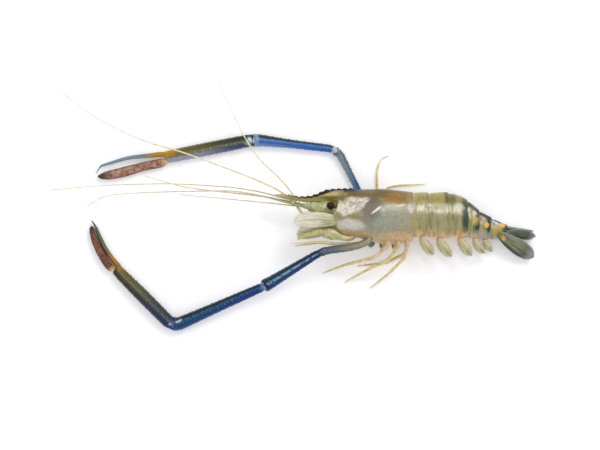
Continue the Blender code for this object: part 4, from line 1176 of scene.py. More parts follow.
def makeFringe(name, rings, startShare, length, material):
    # Fine hairs that stand out from both edges of a blade and fan out round its tip.
    draw = np.random.default_rng(fringe["seed"])
    count, around = rings.shape[:2]
    middle = rings.mean(axis=1)
    first = int(count * startShare)
    rows = np.repeat(np.arange(first, count - 1), fringe["perRing"])
    roots = []
    aims = []
    for column in (0, around // 2):
        edge = rings[rows, column]
        out = edge - middle[rows]
        out /= np.linalg.norm(out, axis=1)[:, None]
        ahead = middle[np.minimum(rows + 2, count - 1)] - middle[np.maximum(rows - 2, 0)]
        ahead /= np.linalg.norm(ahead, axis=1)[:, None]
        lean = 0.5 + 1.5 * np.clip((rows - first) / (count - first), 0.0, 1.0)[:, None] ** 3
        roots.append(edge - out * fringe["sunk"])
        aims.append(out + ahead * lean + draw.normal(0.0, fringe["scatter"], edge.shape))
    tip = rings[-1]
    ahead = middle[-1] - middle[-4]
    roots.append(tip)
    aims.append(tip - middle[-1] + ahead / np.linalg.norm(ahead) * fringe["tipLean"])
    roots = np.concatenate(roots)
    lengths = length * draw.uniform(fringe["shortest"], 1.0, len(roots))
    points, faces = spikes(roots, np.concatenate(aims), lengths, fringe["width"])
    makePiece(name, points, faces, material, {}, ())


def makePaddleMaterial():
    made, tree, shader = newMaterial("paddleSkin", coat=0.3, coatRoughness=0.2, subsurface=0.15)
    place = bodyPlace(tree)[0]
    share = mark(tree, "share")
    streaks = alongStreaks(tree, 1.6, 4.0)
    colour = mixColour(tree, ramped(tree, streaks, 0.38, 0.6), rgb(150, 146, 104), rgb(204, 190, 148))
    colour = paint(tree, colour, ramped(tree, share, 0.3, 0.0), (208, 172, 126))
    rim = ramped(tree, maths(tree, "ABSOLUTE", mark(tree, "across")), 0.7, 0.98)
    colour = paint(tree, colour, rim, (214, 206, 180), 0.6)
    specks = noise(tree, place, 1.1, 2.0)
    colour = paint(tree, colour, ramped(tree, specks.outputs[0], 0.6, 0.7), (92, 98, 70), 0.7)
    wetSkin(tree, shader, place, colour, 2.4, 0.04, 0.12, 0.34)
    return made


def makePaddles():
    skin = makePaddleMaterial()
    hairSkin = makeHairMaterial("paddleHair", (170, 158, 116), (222, 210, 172))
    for number, (place, length, depth) in enumerate(paddles["places"], 1):
        for side, sign in flanks:
            root, out = trunkRoot(place, 180.0 - sign * paddles["turn"])
            start = root - out * (depth + paddles["sunk"])
            corners = [start]
            for along, down, lean in (paddles["knee"], paddles["tip"]):
                corners.append(start + (along * length, down * length, sign * lean))
            profile = bladeProfile(paddles["halfWidth"] * length, paddles["thick"], root=0.45)
            line = roundedLine(corners, 5.0)
            rings = limbPiece("paddle%d%s" % (number, side), line, profile, 40, 0.4, skin,
                              ("pleopod_%d_%s" % (number, side),), "paddle", relief=bladeRelief)
            makeFringe("paddleFringe%d%s" % (number, side), rings, 0.25, paddles["hair"], hairSkin)


makeTailFan()
makePaddles()
print("tail fan and paddles ready")

# long claw arms
arms = {
    "bend": 8.0,
    "sides": 56,
    "spacing": 0.5,
    "right": {
        "root": (-33.0, 208.0),
        "corners": [
            (-33.4, -23.0, 6.6), (-32.5, -16.0, 3.0), (-34.6, 1.0, 2.8), (-43.6, 21.6, 2.8),
            (-59.8, 53.2, 3.9), (-126.4, 61.0, 4.6), (-197.6, 46.6, 4.4), (-228.0, 38.0, 4.0),
            (-251.5, 30.8, 3.2),
        ],
        "joints": [2, 4, 5, 6],
        "ischium": [(0.0, 2.2, 2.0, 0.0), (0.4, 2.6, 2.4, 0.0), (1.0, 2.7, 2.5, 0.0)],
        "merus": [(0.0, 2.3, 2.2, 0.0), (0.08, 2.6, 2.5, 0.0), (0.55, 2.5, 2.5, 0.0), (1.0, 3.3, 3.1, 0.0)],
        "carpus": [(0.0, 2.4, 2.4, 0.0), (0.06, 2.9, 2.9, 0.0), (0.5, 3.3, 3.2, 0.0), (1.0, 5.0, 4.6, 0.0)],
        "palm": [
            (0.0, 4.0, 3.6, 0.0), (0.03, 4.9, 4.4, 0.0), (0.3, 5.2, 4.8, 0.0), (0.48, 5.1, 4.7, 0.0),
            (0.55, 4.7, 4.3, 0.2), (0.569, 2.2, 2.6, 3.0), (0.64, 1.9, 2.3, 4.6), (0.82, 1.4, 1.8, 8.0),
            (0.95, 0.95, 1.2, 8.0), (1.0, 0.35, 0.4, 3.4),
        ],
        "dactyl": [
            (0.0, 2.6, 2.6, -3.2), (0.07, 3.5, 3.2, -3.2), (0.35, 3.5, 3.3, -2.2), (0.57, 3.9, 3.3, -2.1),
            (0.82, 3.6, 2.9, -1.1), (0.95, 2.1, 1.9, -0.2), (1.0, 0.5, 0.6, 0.4),
        ],
        "short": 0.5,
    },
    "left": {
        "root": (-37.0, 150.0),
        "corners": [
            (-48.0, -24.8, 29.0), (-72.0, -27.8, 25.4), (-117.2, -55.6, 12.4), (-190.8, -88.2, 4.8),
            (-237.4, -41.6, 4.2), (-252.4, -22.0, 3.9), (-256.4, -3.6, 2.9),
        ],
        "joints": [1, 2, 3, 4],
        "ischium": [(0.0, 2.4, 2.4, 0.0), (0.3, 2.8, 2.6, 0.0), (1.0, 3.0, 2.8, 0.0)],
        "merus": [(0.0, 2.6, 2.5, 0.0), (0.08, 3.0, 2.9, 0.0), (0.5, 3.9, 3.6, 0.0), (1.0, 5.0, 4.5, 0.0)],
        "carpus": [(0.0, 2.9, 2.8, 0.0), (0.06, 3.5, 3.3, 0.0), (0.5, 4.2, 4.0, 0.0), (1.0, 5.35, 5.2, 0.0)],
        "palm": [
            (0.0, 4.2, 3.9, 0.0), (0.03, 5.0, 4.6, 0.0), (0.3, 5.2, 4.9, 0.0), (0.52, 4.7, 4.3, 0.0),
            (0.58, 4.4, 4.0, 0.2), (0.602, 2.3, 2.5, 2.75), (0.68, 2.0, 2.3, 2.75), (0.83, 1.85, 1.8, 3.7),
            (0.93, 1.2, 1.3, 2.8), (0.97, 0.75, 0.9, 1.55), (1.0, 0.35, 0.4, 0.2),
        ],
        "dactyl": [
            (0.0, 2.2, 2.4, -2.7), (0.07, 2.9, 2.9, -2.8), (0.17, 3.0, 3.0, -2.8), (0.4, 3.0, 3.0, -1.9),
            (0.61, 2.75, 2.6, -1.0), (0.9, 2.2, 2.1, -0.9), (0.97, 1.4, 1.4, -0.8), (1.0, 0.6, 0.6, -0.7),
        ],
        "short": 4.5,
    },
}
spines = {
    "pitch": 3.3,
    "width": 0.55,
    # turn round the arm in degrees, height
    "rows": [(0.0, 0.45), (35.0, 0.3), (62.0, 0.22), (93.0, 0.24), (120.0, 0.2), (150.0, 0.28), (180.0, 0.4),
             (325.0, 0.3)],
    "dotted": 93.0,
    "groove": (78.0, 0.25),
}


def spineField(place, turn, length):
    # Short spines in rows along the arm: how high they stand, and from 0 to 1 the one row of pale dots.
    field = np.zeros(np.broadcast(place, turn).shape)
    height = np.zeros_like(field)
    for number, (angle, size) in enumerate(spines["rows"]):
        away = np.degrees(np.angle(np.exp(1j * (turn - math.radians(angle)))))
        phase = (place / spines["pitch"] + 0.37 * number + 0.18 * np.sin(place * 0.9 + number)) % 1.0
        point = np.where(phase < 0.75, phase / 0.75, (1.0 - phase) / 0.25) ** 2
        fade = np.minimum(1.0, np.minimum(place, length - place) / 3.0)
        bump = point * hump(away, 7.0) * fade
        if angle == spines["dotted"]:
            field = bump
        height = np.maximum(height, bump * size)
    return field, height


def armRelief(place, turn, length):
    height = spineField(place, turn, length)[1]
    angle, depth = spines["groove"]
    away = np.degrees(np.angle(np.exp(1j * (turn - math.radians(angle)))))
    ends = np.minimum(1.0, np.minimum(place, length - place) / 6.0)
    collar = 0.25 * hump(place - 1.2, 0.8) + 0.3 * hump(length - place - 1.4, 1.0)
    return height - depth * hump(away, 7.0) * ends + collar


def makeArmMaterial(name, look):
    # look has the outer edge, upper face and lower edge colours at the start and at the end of the piece.
    made, tree, shader = newMaterial(name, coat=0.25, coatRoughness=0.18, specular=0.35)
    place, wavy = bodyPlace(tree, 1.5, 0.3)
    share = mark(tree, "share")
    across = mark(tree, "across")
    spine = mark(tree, "spine")
    wobble = noise(tree, place, 0.35, 4.0)
    wavyAcross = shaken(tree, across, wobble, 0.7)
    wavyShare = shaken(tree, share, wobble, 0.14)
    reach = ramped(tree, wavyShare, look.get("from", 0.1), look.get("to", 0.9))
    tones = [mixColour(tree, reach, rgb(*look[key][0]), rgb(*look[key][1]))
             for key in ("outer", "upper", "lower")]
    colour = mixColour(tree, ramped(tree, wavyAcross, look.get("lowerTo", -0.2), look.get("lowerFrom", -0.7)),
                       tones[1], tones[2])
    colour = mixColour(tree, ramped(tree, wavyAcross, look.get("outerFrom", 0.15), look.get("outerTo", 0.6)),
                       colour, tones[0])
    # a broken pale line along the piece; on the left merus it is a painted highlight along its groove
    streak = look.get("streak")
    if streak:
        near = maths(tree, "ABSOLUTE", maths(tree, "SUBTRACT", across, streak["at"]))
        mask = times(tree, ramped(tree, near, streak["width"], 0.0), streak["strength"])
        broken = noise(tree, place, 0.45, 3.0)
        mask = times(tree, mask, ramped(tree, broken.outputs[0], 0.38, 0.56))
        colour = paint(tree, colour, mask, streak["tint"])
    dots = times(tree, ramped(tree, spine, 0.35, 0.8), look.get("dots", 0.3))
    uneven = noise(tree, place, 0.5, 2.0)
    dots = times(tree, dots, ramped(tree, uneven.outputs[0], 0.3, 0.56))
    colour = paint(tree, colour, dots, look.get("dotTint", (170, 172, 150)))
    rings = look.get("ends")
    if rings:
        startMask = ramped(tree, share, rings.get("startTo", 0.05), rings.get("startTo", 0.05) * 0.4)
        colour = paint(tree, colour, startMask, rings["start"])
        endMask = ramped(tree, share, rings.get("endFrom", 0.94), rings.get("endFrom", 0.94) * 0.4 + 0.6)
        colour = paint(tree, colour, endMask, rings["end"])
    colour = addSpots(tree, wavy, colour, look.get("spots", ()))
    colour = grainy(tree, place, colour, 1.1, 0.6, Dark=rgb(150, 150, 150))
    wetSkin(tree, shader, place, colour, 2.6, 0.06, 0.1, look.get("rough", 0.36))
    return made


armLooks = {
    "rightischium": {"outer": [(60, 74, 90), (60, 74, 100)], "upper": [(110, 116, 110), (60, 90, 130)],
                     "lower": [(90, 100, 120), (50, 80, 130)]},
    "rightmerus": {"outer": [(24, 70, 138), (84, 106, 118)], "upper": [(40, 100, 170), (126, 148, 158)],
                   "lower": [(130, 166, 200), (140, 158, 172)], "from": 0.3, "to": 0.75,
                   "spots": (((-58.2, 54.4), 3.4, 1.5, -20.0, 0.6, 0.8, (196, 212, 208)),),
                   "ends": {"start": (60, 80, 110), "end": (110, 124, 128)}},
    "rightcarpus": {"outer": [(26, 56, 76), (34, 48, 38)], "upper": [(26, 108, 196), (40, 104, 182)],
                    "lower": [(34, 96, 178), (112, 146, 204)], "outerFrom": 0.25, "outerTo": 0.6,
                    "dots": 0.15, "ends": {"start": (206, 208, 196), "end": (132, 164, 196),
                                           "startTo": 0.06, "endFrom": 0.93}},
    "rightpalm": {"outer": [(48, 50, 34), (110, 96, 30)], "upper": [(92, 100, 86), (126, 118, 76)],
                  "lower": [(58, 74, 118), (168, 168, 184)], "outerFrom": 0.0, "outerTo": 0.4,
                  "from": 0.08, "to": 0.46, "lowerFrom": -0.5, "lowerTo": -0.1,
                  "rough": 0.42, "dots": 0.9, "dotTint": (214, 216, 184),
                  "spots": (((-199.5, 49.4), 12.0, 3.6, 12.0, 0.45, 0.97, (196, 150, 8)),
                            ((-129.6, 60.6), 1.7, 2.6, 40.0, 0.5, 0.9, (206, 226, 232)),
                            ((-131.0, 57.4), 3.0, 1.2, -20.0, 0.6, 0.6, (188, 188, 160))),
                  "ends": {"start": (30, 40, 60), "end": (70, 82, 90), "startTo": 0.02}},
    "leftischium": {"outer": [(150, 140, 110), (90, 100, 120)], "upper": [(176, 164, 130), (110, 116, 120)],
                    "lower": [(150, 140, 120), (80, 90, 120)]},
    "leftmerus": {"outer": [(6, 40, 82), (10, 54, 70)], "upper": [(28, 68, 120), (50, 92, 126)],
                  "lower": [(0, 40, 104), (6, 56, 122)],
                  # this pale line is a painted highlight along the merus's groove
                  "streak": {"at": 0.05, "width": 0.34, "strength": 0.9, "tint": (168, 190, 212)},
                  "ends": {"start": (60, 78, 96), "end": (22, 44, 60)}},
    "leftcarpus": {"outer": [(8, 40, 64), (14, 40, 42)], "upper": [(4, 62, 132), (24, 80, 114)],
                   "lower": [(0, 52, 130), (6, 66, 132)], "dots": 0.7, "dotTint": (150, 180, 190),
                   "streak": {"at": 0.3, "width": 0.25, "strength": 0.45, "tint": (104, 144, 160)},
                   # the first spot, pale in the wrist joint's notch, is a painted highlight
                   "spots": (((-186.2, -83.8), 2.4, 1.1, 25.0, 0.5, 0.9, (200, 216, 218)),
                             ((-119.6, -57.4), 2.6, 1.2, 25.0, 0.6, 0.5, (96, 130, 190))),
                   "ends": {"start": (88, 130, 180), "end": (30, 76, 140), "startTo": 0.05, "endFrom": 0.95}},
    "leftpalm": {"outer": [(34, 48, 50), (98, 86, 22)], "upper": [(54, 72, 82), (94, 88, 46)],
                 "lower": [(16, 46, 92), (48, 50, 28)], "from": 0.1, "to": 0.5,
                 "dots": 0.4, "dotTint": (140, 146, 130), "rough": 0.5,
                 "spots": (((-236.0, -36.0), 9.5, 4.2, -52.0, 0.4, 0.95, (160, 112, 8)),
                           ((-244.5, -25.0), 6.0, 3.0, -56.0, 0.5, 0.8, (112, 98, 38)),
                           ((-195.4, -87.6), 2.0, 1.9, 0.0, 0.5, 0.9, (20, 32, 150)),
                           # this pale spot is partly the shell's pale colour, partly painted highlight
                           ((-193.0, -86.2), 1.5, 1.3, 0.0, 0.6, 0.8, (172, 192, 206))),
                 "ends": {"start": (14, 44, 120), "end": (80, 90, 80), "startTo": 0.04}},
}
# Which part of a palm's length still belongs to the palm, before its thin finger.
palmShare = {"right": 0.56, "left": 0.59}
# Where along the palm that finger's own colour begins, and the colour.
fingerTints = {"right": (0.6, (124, 142, 156)), "left": (0.73, (78, 82, 62))}


def makeFingerTint(material, fingerFrom, tint):
    # The thin finger past the palm changes colour towards its tip.
    tree = material.node_tree
    base = tree.nodes["Principled BSDF"].inputs["Base Color"]
    mask = ramped(tree, mark(tree, "share"), fingerFrom, fingerFrom + 0.2)
    tree.links.new(paint(tree, base.links[0].from_socket, mask, tint), base)


def makeVelvetMaterial(name, dark, light):
    made, tree, shader = newMaterial(name)
    place = bodyPlace(tree)[0]
    share = mark(tree, "share")
    colour = twoTones(tree, place, dark, light, 0.35, 0.34, 0.66, Detail=5.0, Fineness=0.62)
    edges = ramped(tree, maths(tree, "ABSOLUTE", mark(tree, "across")), 0.6, 0.98)
    colour = paint(tree, colour, edges, (80, 54, 44), 0.6)
    colour = paint(tree, colour, ramped(tree, share, 0.72, 1.0), (64, 50, 48))
    colour = paint(tree, colour, ramped(tree, share, 0.08, 0.02), (226, 182, 130))
    colour = grainy(tree, place, colour, 2.6, 0.6, Dark=rgb(140, 140, 140))
    shader.inputs["Sheen Weight"].default_value = 0.25
    shader.inputs["Sheen Roughness"].default_value = 0.4
    wetSkin(tree, shader, place, colour, 3.4, 0.12, 0.2, 0.75)
    return made


def makeMembraneMaterial(name, light, dark):
    made, tree, shader = newMaterial(name, coat=0.4, coatRoughness=0.15, subsurface=0.1)
    place = bodyPlace(tree)[0]
    colour = twoTones(tree, place, light, dark, 0.7, 0.4, 0.6, Detail=3.0)
    wetSkin(tree, shader, place, colour, 2.4, 0.04, 0.15, 0.3)
    return made


knobs = {"size": 1.5, "offset": 0.68, "least": 0.6, "perWidth": 0.1, "hinge": 0.92}
jointSkins = {"reach": 2.6, "profile": [(0.0, 0.6), (0.5, 0.76), (1.0, 0.6)]}
velvetHairs = {
    "count": 2600,
    "length": (0.35, 0.8),
    "width": 0.09,
    "lean": 0.5,
    "scatter": 0.22,
    "sunk": 0.1,
    "seed": 11,
}


def roundProfile(radius, depth, below, steps, least):
    # Half widths of a ball that is lofted from below its middle over a depth.
    profile = []
    for step in range(steps + 1):
        share = step / steps
        level = (share * depth - below) / radius
        size = radius * math.sqrt(max(least, 1.0 - level * level))
        profile.append((share, size, size, 0.0))
    return profile


def ball(name, centre, radius, material, slot):
    depth = 1.98 * radius
    half = np.array([depth / 2, 0.0, 0.0])
    profile = roundProfile(radius, depth, depth / 2, 16, 0.01)
    line = np.array([centre - half, centre + half])
    limbPiece(name, line, profile, 28, 0.15, material, (), slot, blunt=0.1)


def makeVelvetHairs(side, rings, material):
    # A nap of short hairs over the moving finger, leaning towards its tip.
    h = velvetHairs
    draw = np.random.default_rng(h["seed"])
    count, sides = rings.shape[:2]
    row = draw.integers(3, count - 3, h["count"])
    column = draw.integers(0, sides, h["count"])
    roots = rings[row, column]
    out = roots - rings[row].mean(axis=1)
    out /= np.linalg.norm(out, axis=1)[:, None]
    forward = rings[row + 1].mean(axis=1) - rings[row - 1].mean(axis=1)
    forward /= np.linalg.norm(forward, axis=1)[:, None]
    aim = out + forward * h["lean"] + draw.normal(0.0, h["scatter"], roots.shape)
    length = draw.uniform(*h["length"], h["count"])
    points, faces = spikes(roots - out * h["sunk"], aim, length, h["width"])
    marks = {"share": np.repeat(row / count, 4)}
    makePiece(side + "FingerHairs", points, faces, material, marks, ())


armParts = ("ischium", "merus", "carpus", "palm")
# How far the sides of a part's two ends reach past its top and bottom there.
armLobes = {"ischium": (0.0, 0.5), "merus": (-0.4, 0.7), "carpus": (-0.5, 0.9), "palm": (-0.6, 0.0)}


def palmRelief(side):
    # The spines fade out where the palm turns into its thin fixed finger.
    def relief(place, turn, length):
        fade = np.clip((palmShare[side] - place / length) * 30.0, 0.12, 1.0)
        return armRelief(place, turn, length) * fade
    return relief


def makeArmPart(side, part, line, start, end):
    isPalm = part == "palm"
    rings, marks, place, turn = limbRings(
        line, start, end, arms[side][part], arms["sides"], arms["spacing"], blunt=0.2,
        relief=palmRelief(side) if isPalm else armRelief, lobes=armLobes[part])
    marks["spine"] = spineField(place[:, None], turn[None, :], end - start)[0]
    skin = makeArmMaterial(side + part + "Skin", armLooks[side + part])
    if isPalm:
        makeFingerTint(skin, *fingerTints[side])
    loftPiece(side + part.capitalize(), rings, skin, marks, ("arm_%s_%s" % (side, part),))


def makeJoint(side, number, line, cut, wide, deep, skin, knobSkin):
    # The soft skin inside a joint, with a small knob on either side of it.
    profile = [(share, wide * size, deep * size, 0.0) for share, size in jointSkins["profile"]]
    reach = jointSkins["reach"]
    rings, marks, _, _ = limbRings(line, cut - reach, cut + reach, profile, 40, 0.3, blunt=0.2)
    loftPiece("%sJointSkin%d" % (side, number), rings, skin, marks, ())
    middle, across = crossing(line, cut)
    size = knobs["size"] * (knobs["least"] + knobs["perWidth"] * wide)
    for way, letter in ((-1.0, "a"), (1.0, "b")):
        knob = middle + across * way * wide * knobs["offset"]
        ball("%sJointKnob%d%s" % (side, number, letter), knob, size, knobSkin, "blue_shell")


def crossing(line, cut):
    # The line's middle at a place, and the direction across it.
    middle, _, across, _ = framesAt(line, lengthAlong(line), np.array([cut]))
    return middle[0], across[0]


def makeArms():
    velvets = {"right": makeVelvetMaterial("velvetLight", (142, 94, 72), (220, 174, 146)),
               "left": makeVelvetMaterial("velvetDark", (112, 62, 46), (168, 112, 90))}
    membranes = {"right": makeMembraneMaterial("jointSkin", (204, 202, 190), (126, 156, 184)),
                 "left": makeMembraneMaterial("jointSkinBlue", (150, 160, 172), (34, 66, 126))}
    hingeSkin = makeMembraneMaterial("hingeSkin", (214, 178, 128), (222, 206, 160))
    knobSkin = makeMembraneMaterial("knobSkin", (30, 66, 118), (24, 44, 62))
    hairSkin = makeHairMaterial("velvetHair", (112, 70, 54), (182, 136, 112))
    for side in ("right", "left"):
        arm = arms[side]
        line = rootedLine(*arm["root"], arm["corners"], arms["bend"])
        reach = lengthAlong(line)
        joints = [cornerPlace(line, reach, arm["corners"][joint]) for joint in arm["joints"]]
        cuts = [0.0] + joints + [reach[-1]]
        for part, start, end in zip(armParts, cuts, cuts[1:]):
            # the palm runs on to the tip, past the joint where its moving finger starts
            end = cuts[5] if part == "palm" else end - jointGap / 2
            makeArmPart(side, part, line, start + jointGap / 2, end)
        rings, marks, _, _ = limbRings(line, cuts[4] + jointGap, cuts[5] - arm["short"], arm["dactyl"],
                                       arms["sides"], arms["spacing"], blunt=0.2)
        loftPiece(side + "Finger", rings, velvets[side], marks, ("arm_%s_dactyl" % side,))
        makeVelvetHairs(side, rings, hairSkin)
        for number, part in enumerate(armParts[:3], 1):
            wide, deep = arm[part][-1][1:3]
            makeJoint(side, number, line, cuts[number], wide, deep, membranes[side], knobSkin)
        # the soft hinge where the moving finger meets the palm
        middle, across = crossing(line, cuts[4])
        _, size, _, shift = arm["dactyl"][0]
        ball(side + "FingerHinge", middle + across * shift, size * knobs["hinge"], hingeSkin, "claw_tip")


makeArms()
print("claw arms ready")

# small legs and mouth legs
legs = {
    "bend": 5.0,
    "rows": [
        # name, place, turn round the trunk, corners, thickness
        ("leg_1_left", -43.0, 173.0, [(-58.0, -22.6, 23.4), (-73.0, -20.6, 23.6), (-97.0, -22.0, 23.0)], 1.5),
        ("leg_1_right", -43.0, 190.0,
         [(-58.0, -22.6, 18.4), (-74.0, -21.0, 18.0), (-94.0, -24.0, 17.0)], 1.5),
        ("leg_3_left", -20.0, 152.0, [(-30.0, -33.0, 23.0), (-54.0, -39.0, 12.0), (-72.0, -46.0, 1.6)], 1.7),
        ("leg_4_left", -12.0, 152.0, [(-18.0, -34.0, 20.0), (-38.0, -44.0, 10.0), (-54.0, -53.0, 1.5)], 1.6),
        ("leg_5_left", -5.0, 152.0, [(-6.0, -33.0, 17.0), (-20.0, -47.0, 9.0), (-34.0, -58.0, 1.4)], 1.5),
        ("leg_3_right", -22.0, 200.0,
         [(-24.5, -27.0, 8.0), (-26.5, -15.0, 2.2), (-28.0, 22.0, 2.2), (-28.2, 37.0, 2.6),
          (-25.0, 46.0, 2.0), (-18.6, 48.0, 1.4)], 1.5),
        ("leg_4_right", -13.0, 200.0,
         [(-15.0, -27.0, 7.0), (-17.0, -15.0, 1.7), (-22.4, 22.0, 1.7), (-12.0, 24.6, 2.0),
          (11.0, 25.6, 1.4)], 1.2),
        ("leg_5_right", -5.0, 205.0, [(-5.0, -30.0, 5.0), (-22.0, -38.0, 2.4), (-44.0, -40.0, 1.4)], 1.5),
    ],
    "slim": 0.85,
    "taper": [
        (0.0, 1.3), (0.12, 1.25), (0.16, 0.95), (0.2, 1.15), (0.44, 1.0), (0.47, 0.8), (0.51, 1.0),
        (0.66, 0.85), (0.69, 0.7), (0.73, 0.8), (0.92, 0.5), (1.0, 0.25),
    ],
    "mouthLine": [
        (-44.0, -13.0), (-49.2, -18.1), (-56.1, -17.1), (-64.0, -13.6), (-74.0, -11.8), (-90.5, -17.6),
    ],
    "mouthSide": 4.6,
    "mouthProfile": [
        (0.0, 1.9, 1.9, 0.0), (0.14, 2.2, 2.2, 0.0), (0.3, 2.7, 2.6, 0.0), (0.43, 4.3, 3.0, 0.0),
        (0.57, 3.9, 2.8, 0.0), (0.6, 2.9, 2.3, 0.0), (0.66, 3.1, 2.4, 0.0), (0.81, 2.1, 1.8, 0.0),
        (0.85, 1.7, 1.5, 0.0), (1.0, 0.8, 0.8, 0.0),
    ],
    "mouthHair": 1.6,
}


def makeLegMaterial(name, light, dark, joints):
    made, tree, shader = newMaterial(name, coat=0.35, coatRoughness=0.18, subsurface=0.15)
    place = bodyPlace(tree)[0]
    share = mark(tree, "share")
    colour = twoTones(tree, place, light, dark, 0.3, 0.38, 0.62)
    colour = paint(tree, colour, ramped(tree, share, 0.25, 0.0), (206, 170, 130))
    for joint in joints:
        near = maths(tree, "ABSOLUTE", maths(tree, "SUBTRACT", share, joint))
        colour = paint(tree, colour, ramped(tree, near, 0.025, 0.0), (196, 146, 100), 0.45)
    colour = grainy(tree, place, colour, 1.4, 0.25)
    wetSkin(tree, shader, place, colour, 2.6, 0.04, 0.08, 0.34)
    return made


def headPoints(points, sign):
    return [(x, y, headHeight + sign * off) for x, y, off in points]


def makeLegs():
    skin = makeLegMaterial("legSkin", (244, 226, 178), (218, 202, 146), (0.16, 0.47, 0.69))
    mouthSkin = makeLegMaterial("mouthLegSkin", (214, 206, 150), (178, 172, 108), (0.6, 0.85))
    hairSkin = makeHairMaterial("mouthHair", (206, 190, 130), (236, 224, 178))
    for name, place, turn, corners, thick in legs["rows"]:
        line = rootedLine(place, turn, corners, legs["bend"])
        slim = thick * legs["slim"]
        profile = [(share, slim * size, slim * size, 0.0) for share, size in legs["taper"]]
        limbPiece(name.replace("_", ""), line, profile, 24, 0.4, skin, (name,), "leg", blunt=0.3)
    for side, sign in flanks:
        mouth = [(x, y, legs["mouthSide"]) for x, y in legs["mouthLine"]]
        line = roundedLine(headPoints(mouth, sign), legs["bend"])
        rings = limbPiece("mouthLeg" + side, line, legs["mouthProfile"], 36, 0.35, mouthSkin,
                          ("maxilliped_" + side,), "leg")
        makeFringe("mouthLegHair" + side, rings, 0.4, legs["mouthHair"], hairSkin)


makeLegs()
print("legs ready")

# eyes, feeler bases and scales
head = {
    "eyeStalk": [(-58.2, 9.5, 3.2), (-63.4, 8.6, 7.4)],
    "eyeCentre": (-66.2, 8.0, 9.6),
    "eyeRadius": 3.1,
    "eyeDepth": 1.65,
    "eyeSunk": 0.4,
    "stalkRadius": 2.2,
    "stalkReach": 1.2,
    # a line and a profile for each of the two kinds of feeler base
    "bases": {
        "antennule": (
            [(-59.0, 3.6, 3.2), (-70.0, 5.8, 3.3), (-87.0, 8.2, 3.0)],
            [(0.0, 2.8, 2.3, 0.0), (0.15, 3.8, 2.5, 0.0), (0.3, 4.5, 2.4, 0.0), (0.46, 4.2, 2.3, 0.0),
             (0.5, 3.6, 2.0, 0.0), (0.54, 3.8, 2.2, 0.0), (0.78, 3.0, 2.0, 0.0), (0.81, 2.6, 1.8, 0.0),
             (1.0, 2.1, 1.7, 0.0)]),
        "antenna": (
            [(-58.5, -3.8, 5.8), (-70.0, -3.4, 6.6), (-85.0, -1.6, 6.0)],
            [(0.0, 2.4, 2.3, 0.0), (0.2, 3.0, 2.6, 0.0), (0.5, 2.6, 2.3, 0.0), (0.54, 2.1, 1.9, 0.0),
             (0.6, 2.3, 2.1, 0.0), (1.0, 1.6, 1.5, 0.0)]),
    },
    "scaleLines": {
        "left": [(-58.0, -3.6, 8.0), (-62.0, -3.4, 10.2), (-76.0, -2.6, 11.0), (-93.5, -4.2, 9.8)],
        "right": [(-57.6, -5.6, 8.0), (-61.2, -7.0, 10.2), (-76.0, -10.6, 11.0), (-91.5, -14.4, 9.4)],
    },
    "scaleWidth": 6.2,
    "scaleThick": 0.75,
    "scaleHair": 1.1,
    "cores": [
        ("headFront", [(-57.0, 2.5, 0.0), (-68.0, 3.6, 0.0), (-84.0, 7.6, 0.0)],
         [(0.0, 10.5, 3.6, 0.0), (0.25, 10.0, 3.4, 0.0), (0.5, 7.8, 3.0, 0.0), (0.8, 4.6, 2.2, 0.0),
          (1.0, 2.4, 1.2, 0.0)]),
        ("mouthFront", [(-46.0, -11.0, 0.0), (-58.0, -9.6, 0.0), (-72.0, -8.4, 0.0)],
         [(0.0, 6.6, 6.0, 0.0), (0.3, 8.0, 6.4, 0.0), (0.6, 6.4, 5.2, 0.0), (0.85, 4.0, 3.6, 0.0),
          (1.0, 2.2, 2.0, 0.0)]),
    ],
}


def makeHeadMaterial(name, dark, light, tip):
    made, tree, shader = newMaterial(name, coat=0.35, coatRoughness=0.16, subsurface=0.15)
    place = bodyPlace(tree)[0]
    colour = twoTones(tree, place, dark, light, 0.3, 0.36, 0.64)
    colour = paint(tree, colour, ramped(tree, mark(tree, "share"), 0.5, 1.0), tip)
    colour = grainy(tree, place, colour, 1.2, 0.4)
    wetSkin(tree, shader, place, colour, 2.2, 0.04, 0.12, 0.34)
    return made


def makeScaleMaterial():
    # A thin pale leaf: greenish root, pinkish white tip, fine ribs along it.
    made, tree, shader = newMaterial("scaleSkin", coat=0.35, coatRoughness=0.16, subsurface=0.2)
    place, wavy = bodyPlace(tree, 1.2, 0.3)
    share = mark(tree, "share")
    across = mark(tree, "across")
    stretch = addNode(tree, "ShaderNodeMapping")
    stretch.inputs["Scale"].default_value = (0.1, 1.0, 0.3)
    tree.links.new(wavy, stretch.inputs["Vector"])
    streaks = noise(tree, stretch.outputs[0], 1.1, 3.0)
    reach = ramped(tree, share, 0.15, 0.8)
    light = mixColour(tree, reach, rgb(188, 188, 146), rgb(244, 238, 226))
    dark = mixColour(tree, reach, rgb(154, 154, 104), rgb(218, 208, 182))
    colour = mixColour(tree, ramped(tree, streaks.outputs[0], 0.42, 0.62), light, dark)
    ribs = times(tree, ramped(tree, maths(tree, "ABSOLUTE", across), 0.16, 0.02), 0.5)
    colour = paint(tree, colour, ribs, (176, 166, 104))
    rim = ramped(tree, maths(tree, "ABSOLUTE", across), 0.86, 0.99)
    colour = paint(tree, colour, rim, (194, 180, 124), 0.6)
    colour = grainy(tree, place, colour, 1.4, 0.3)
    wetSkin(tree, shader, place, colour, 2.2, 0.04, 0.12, 0.34)
    return made


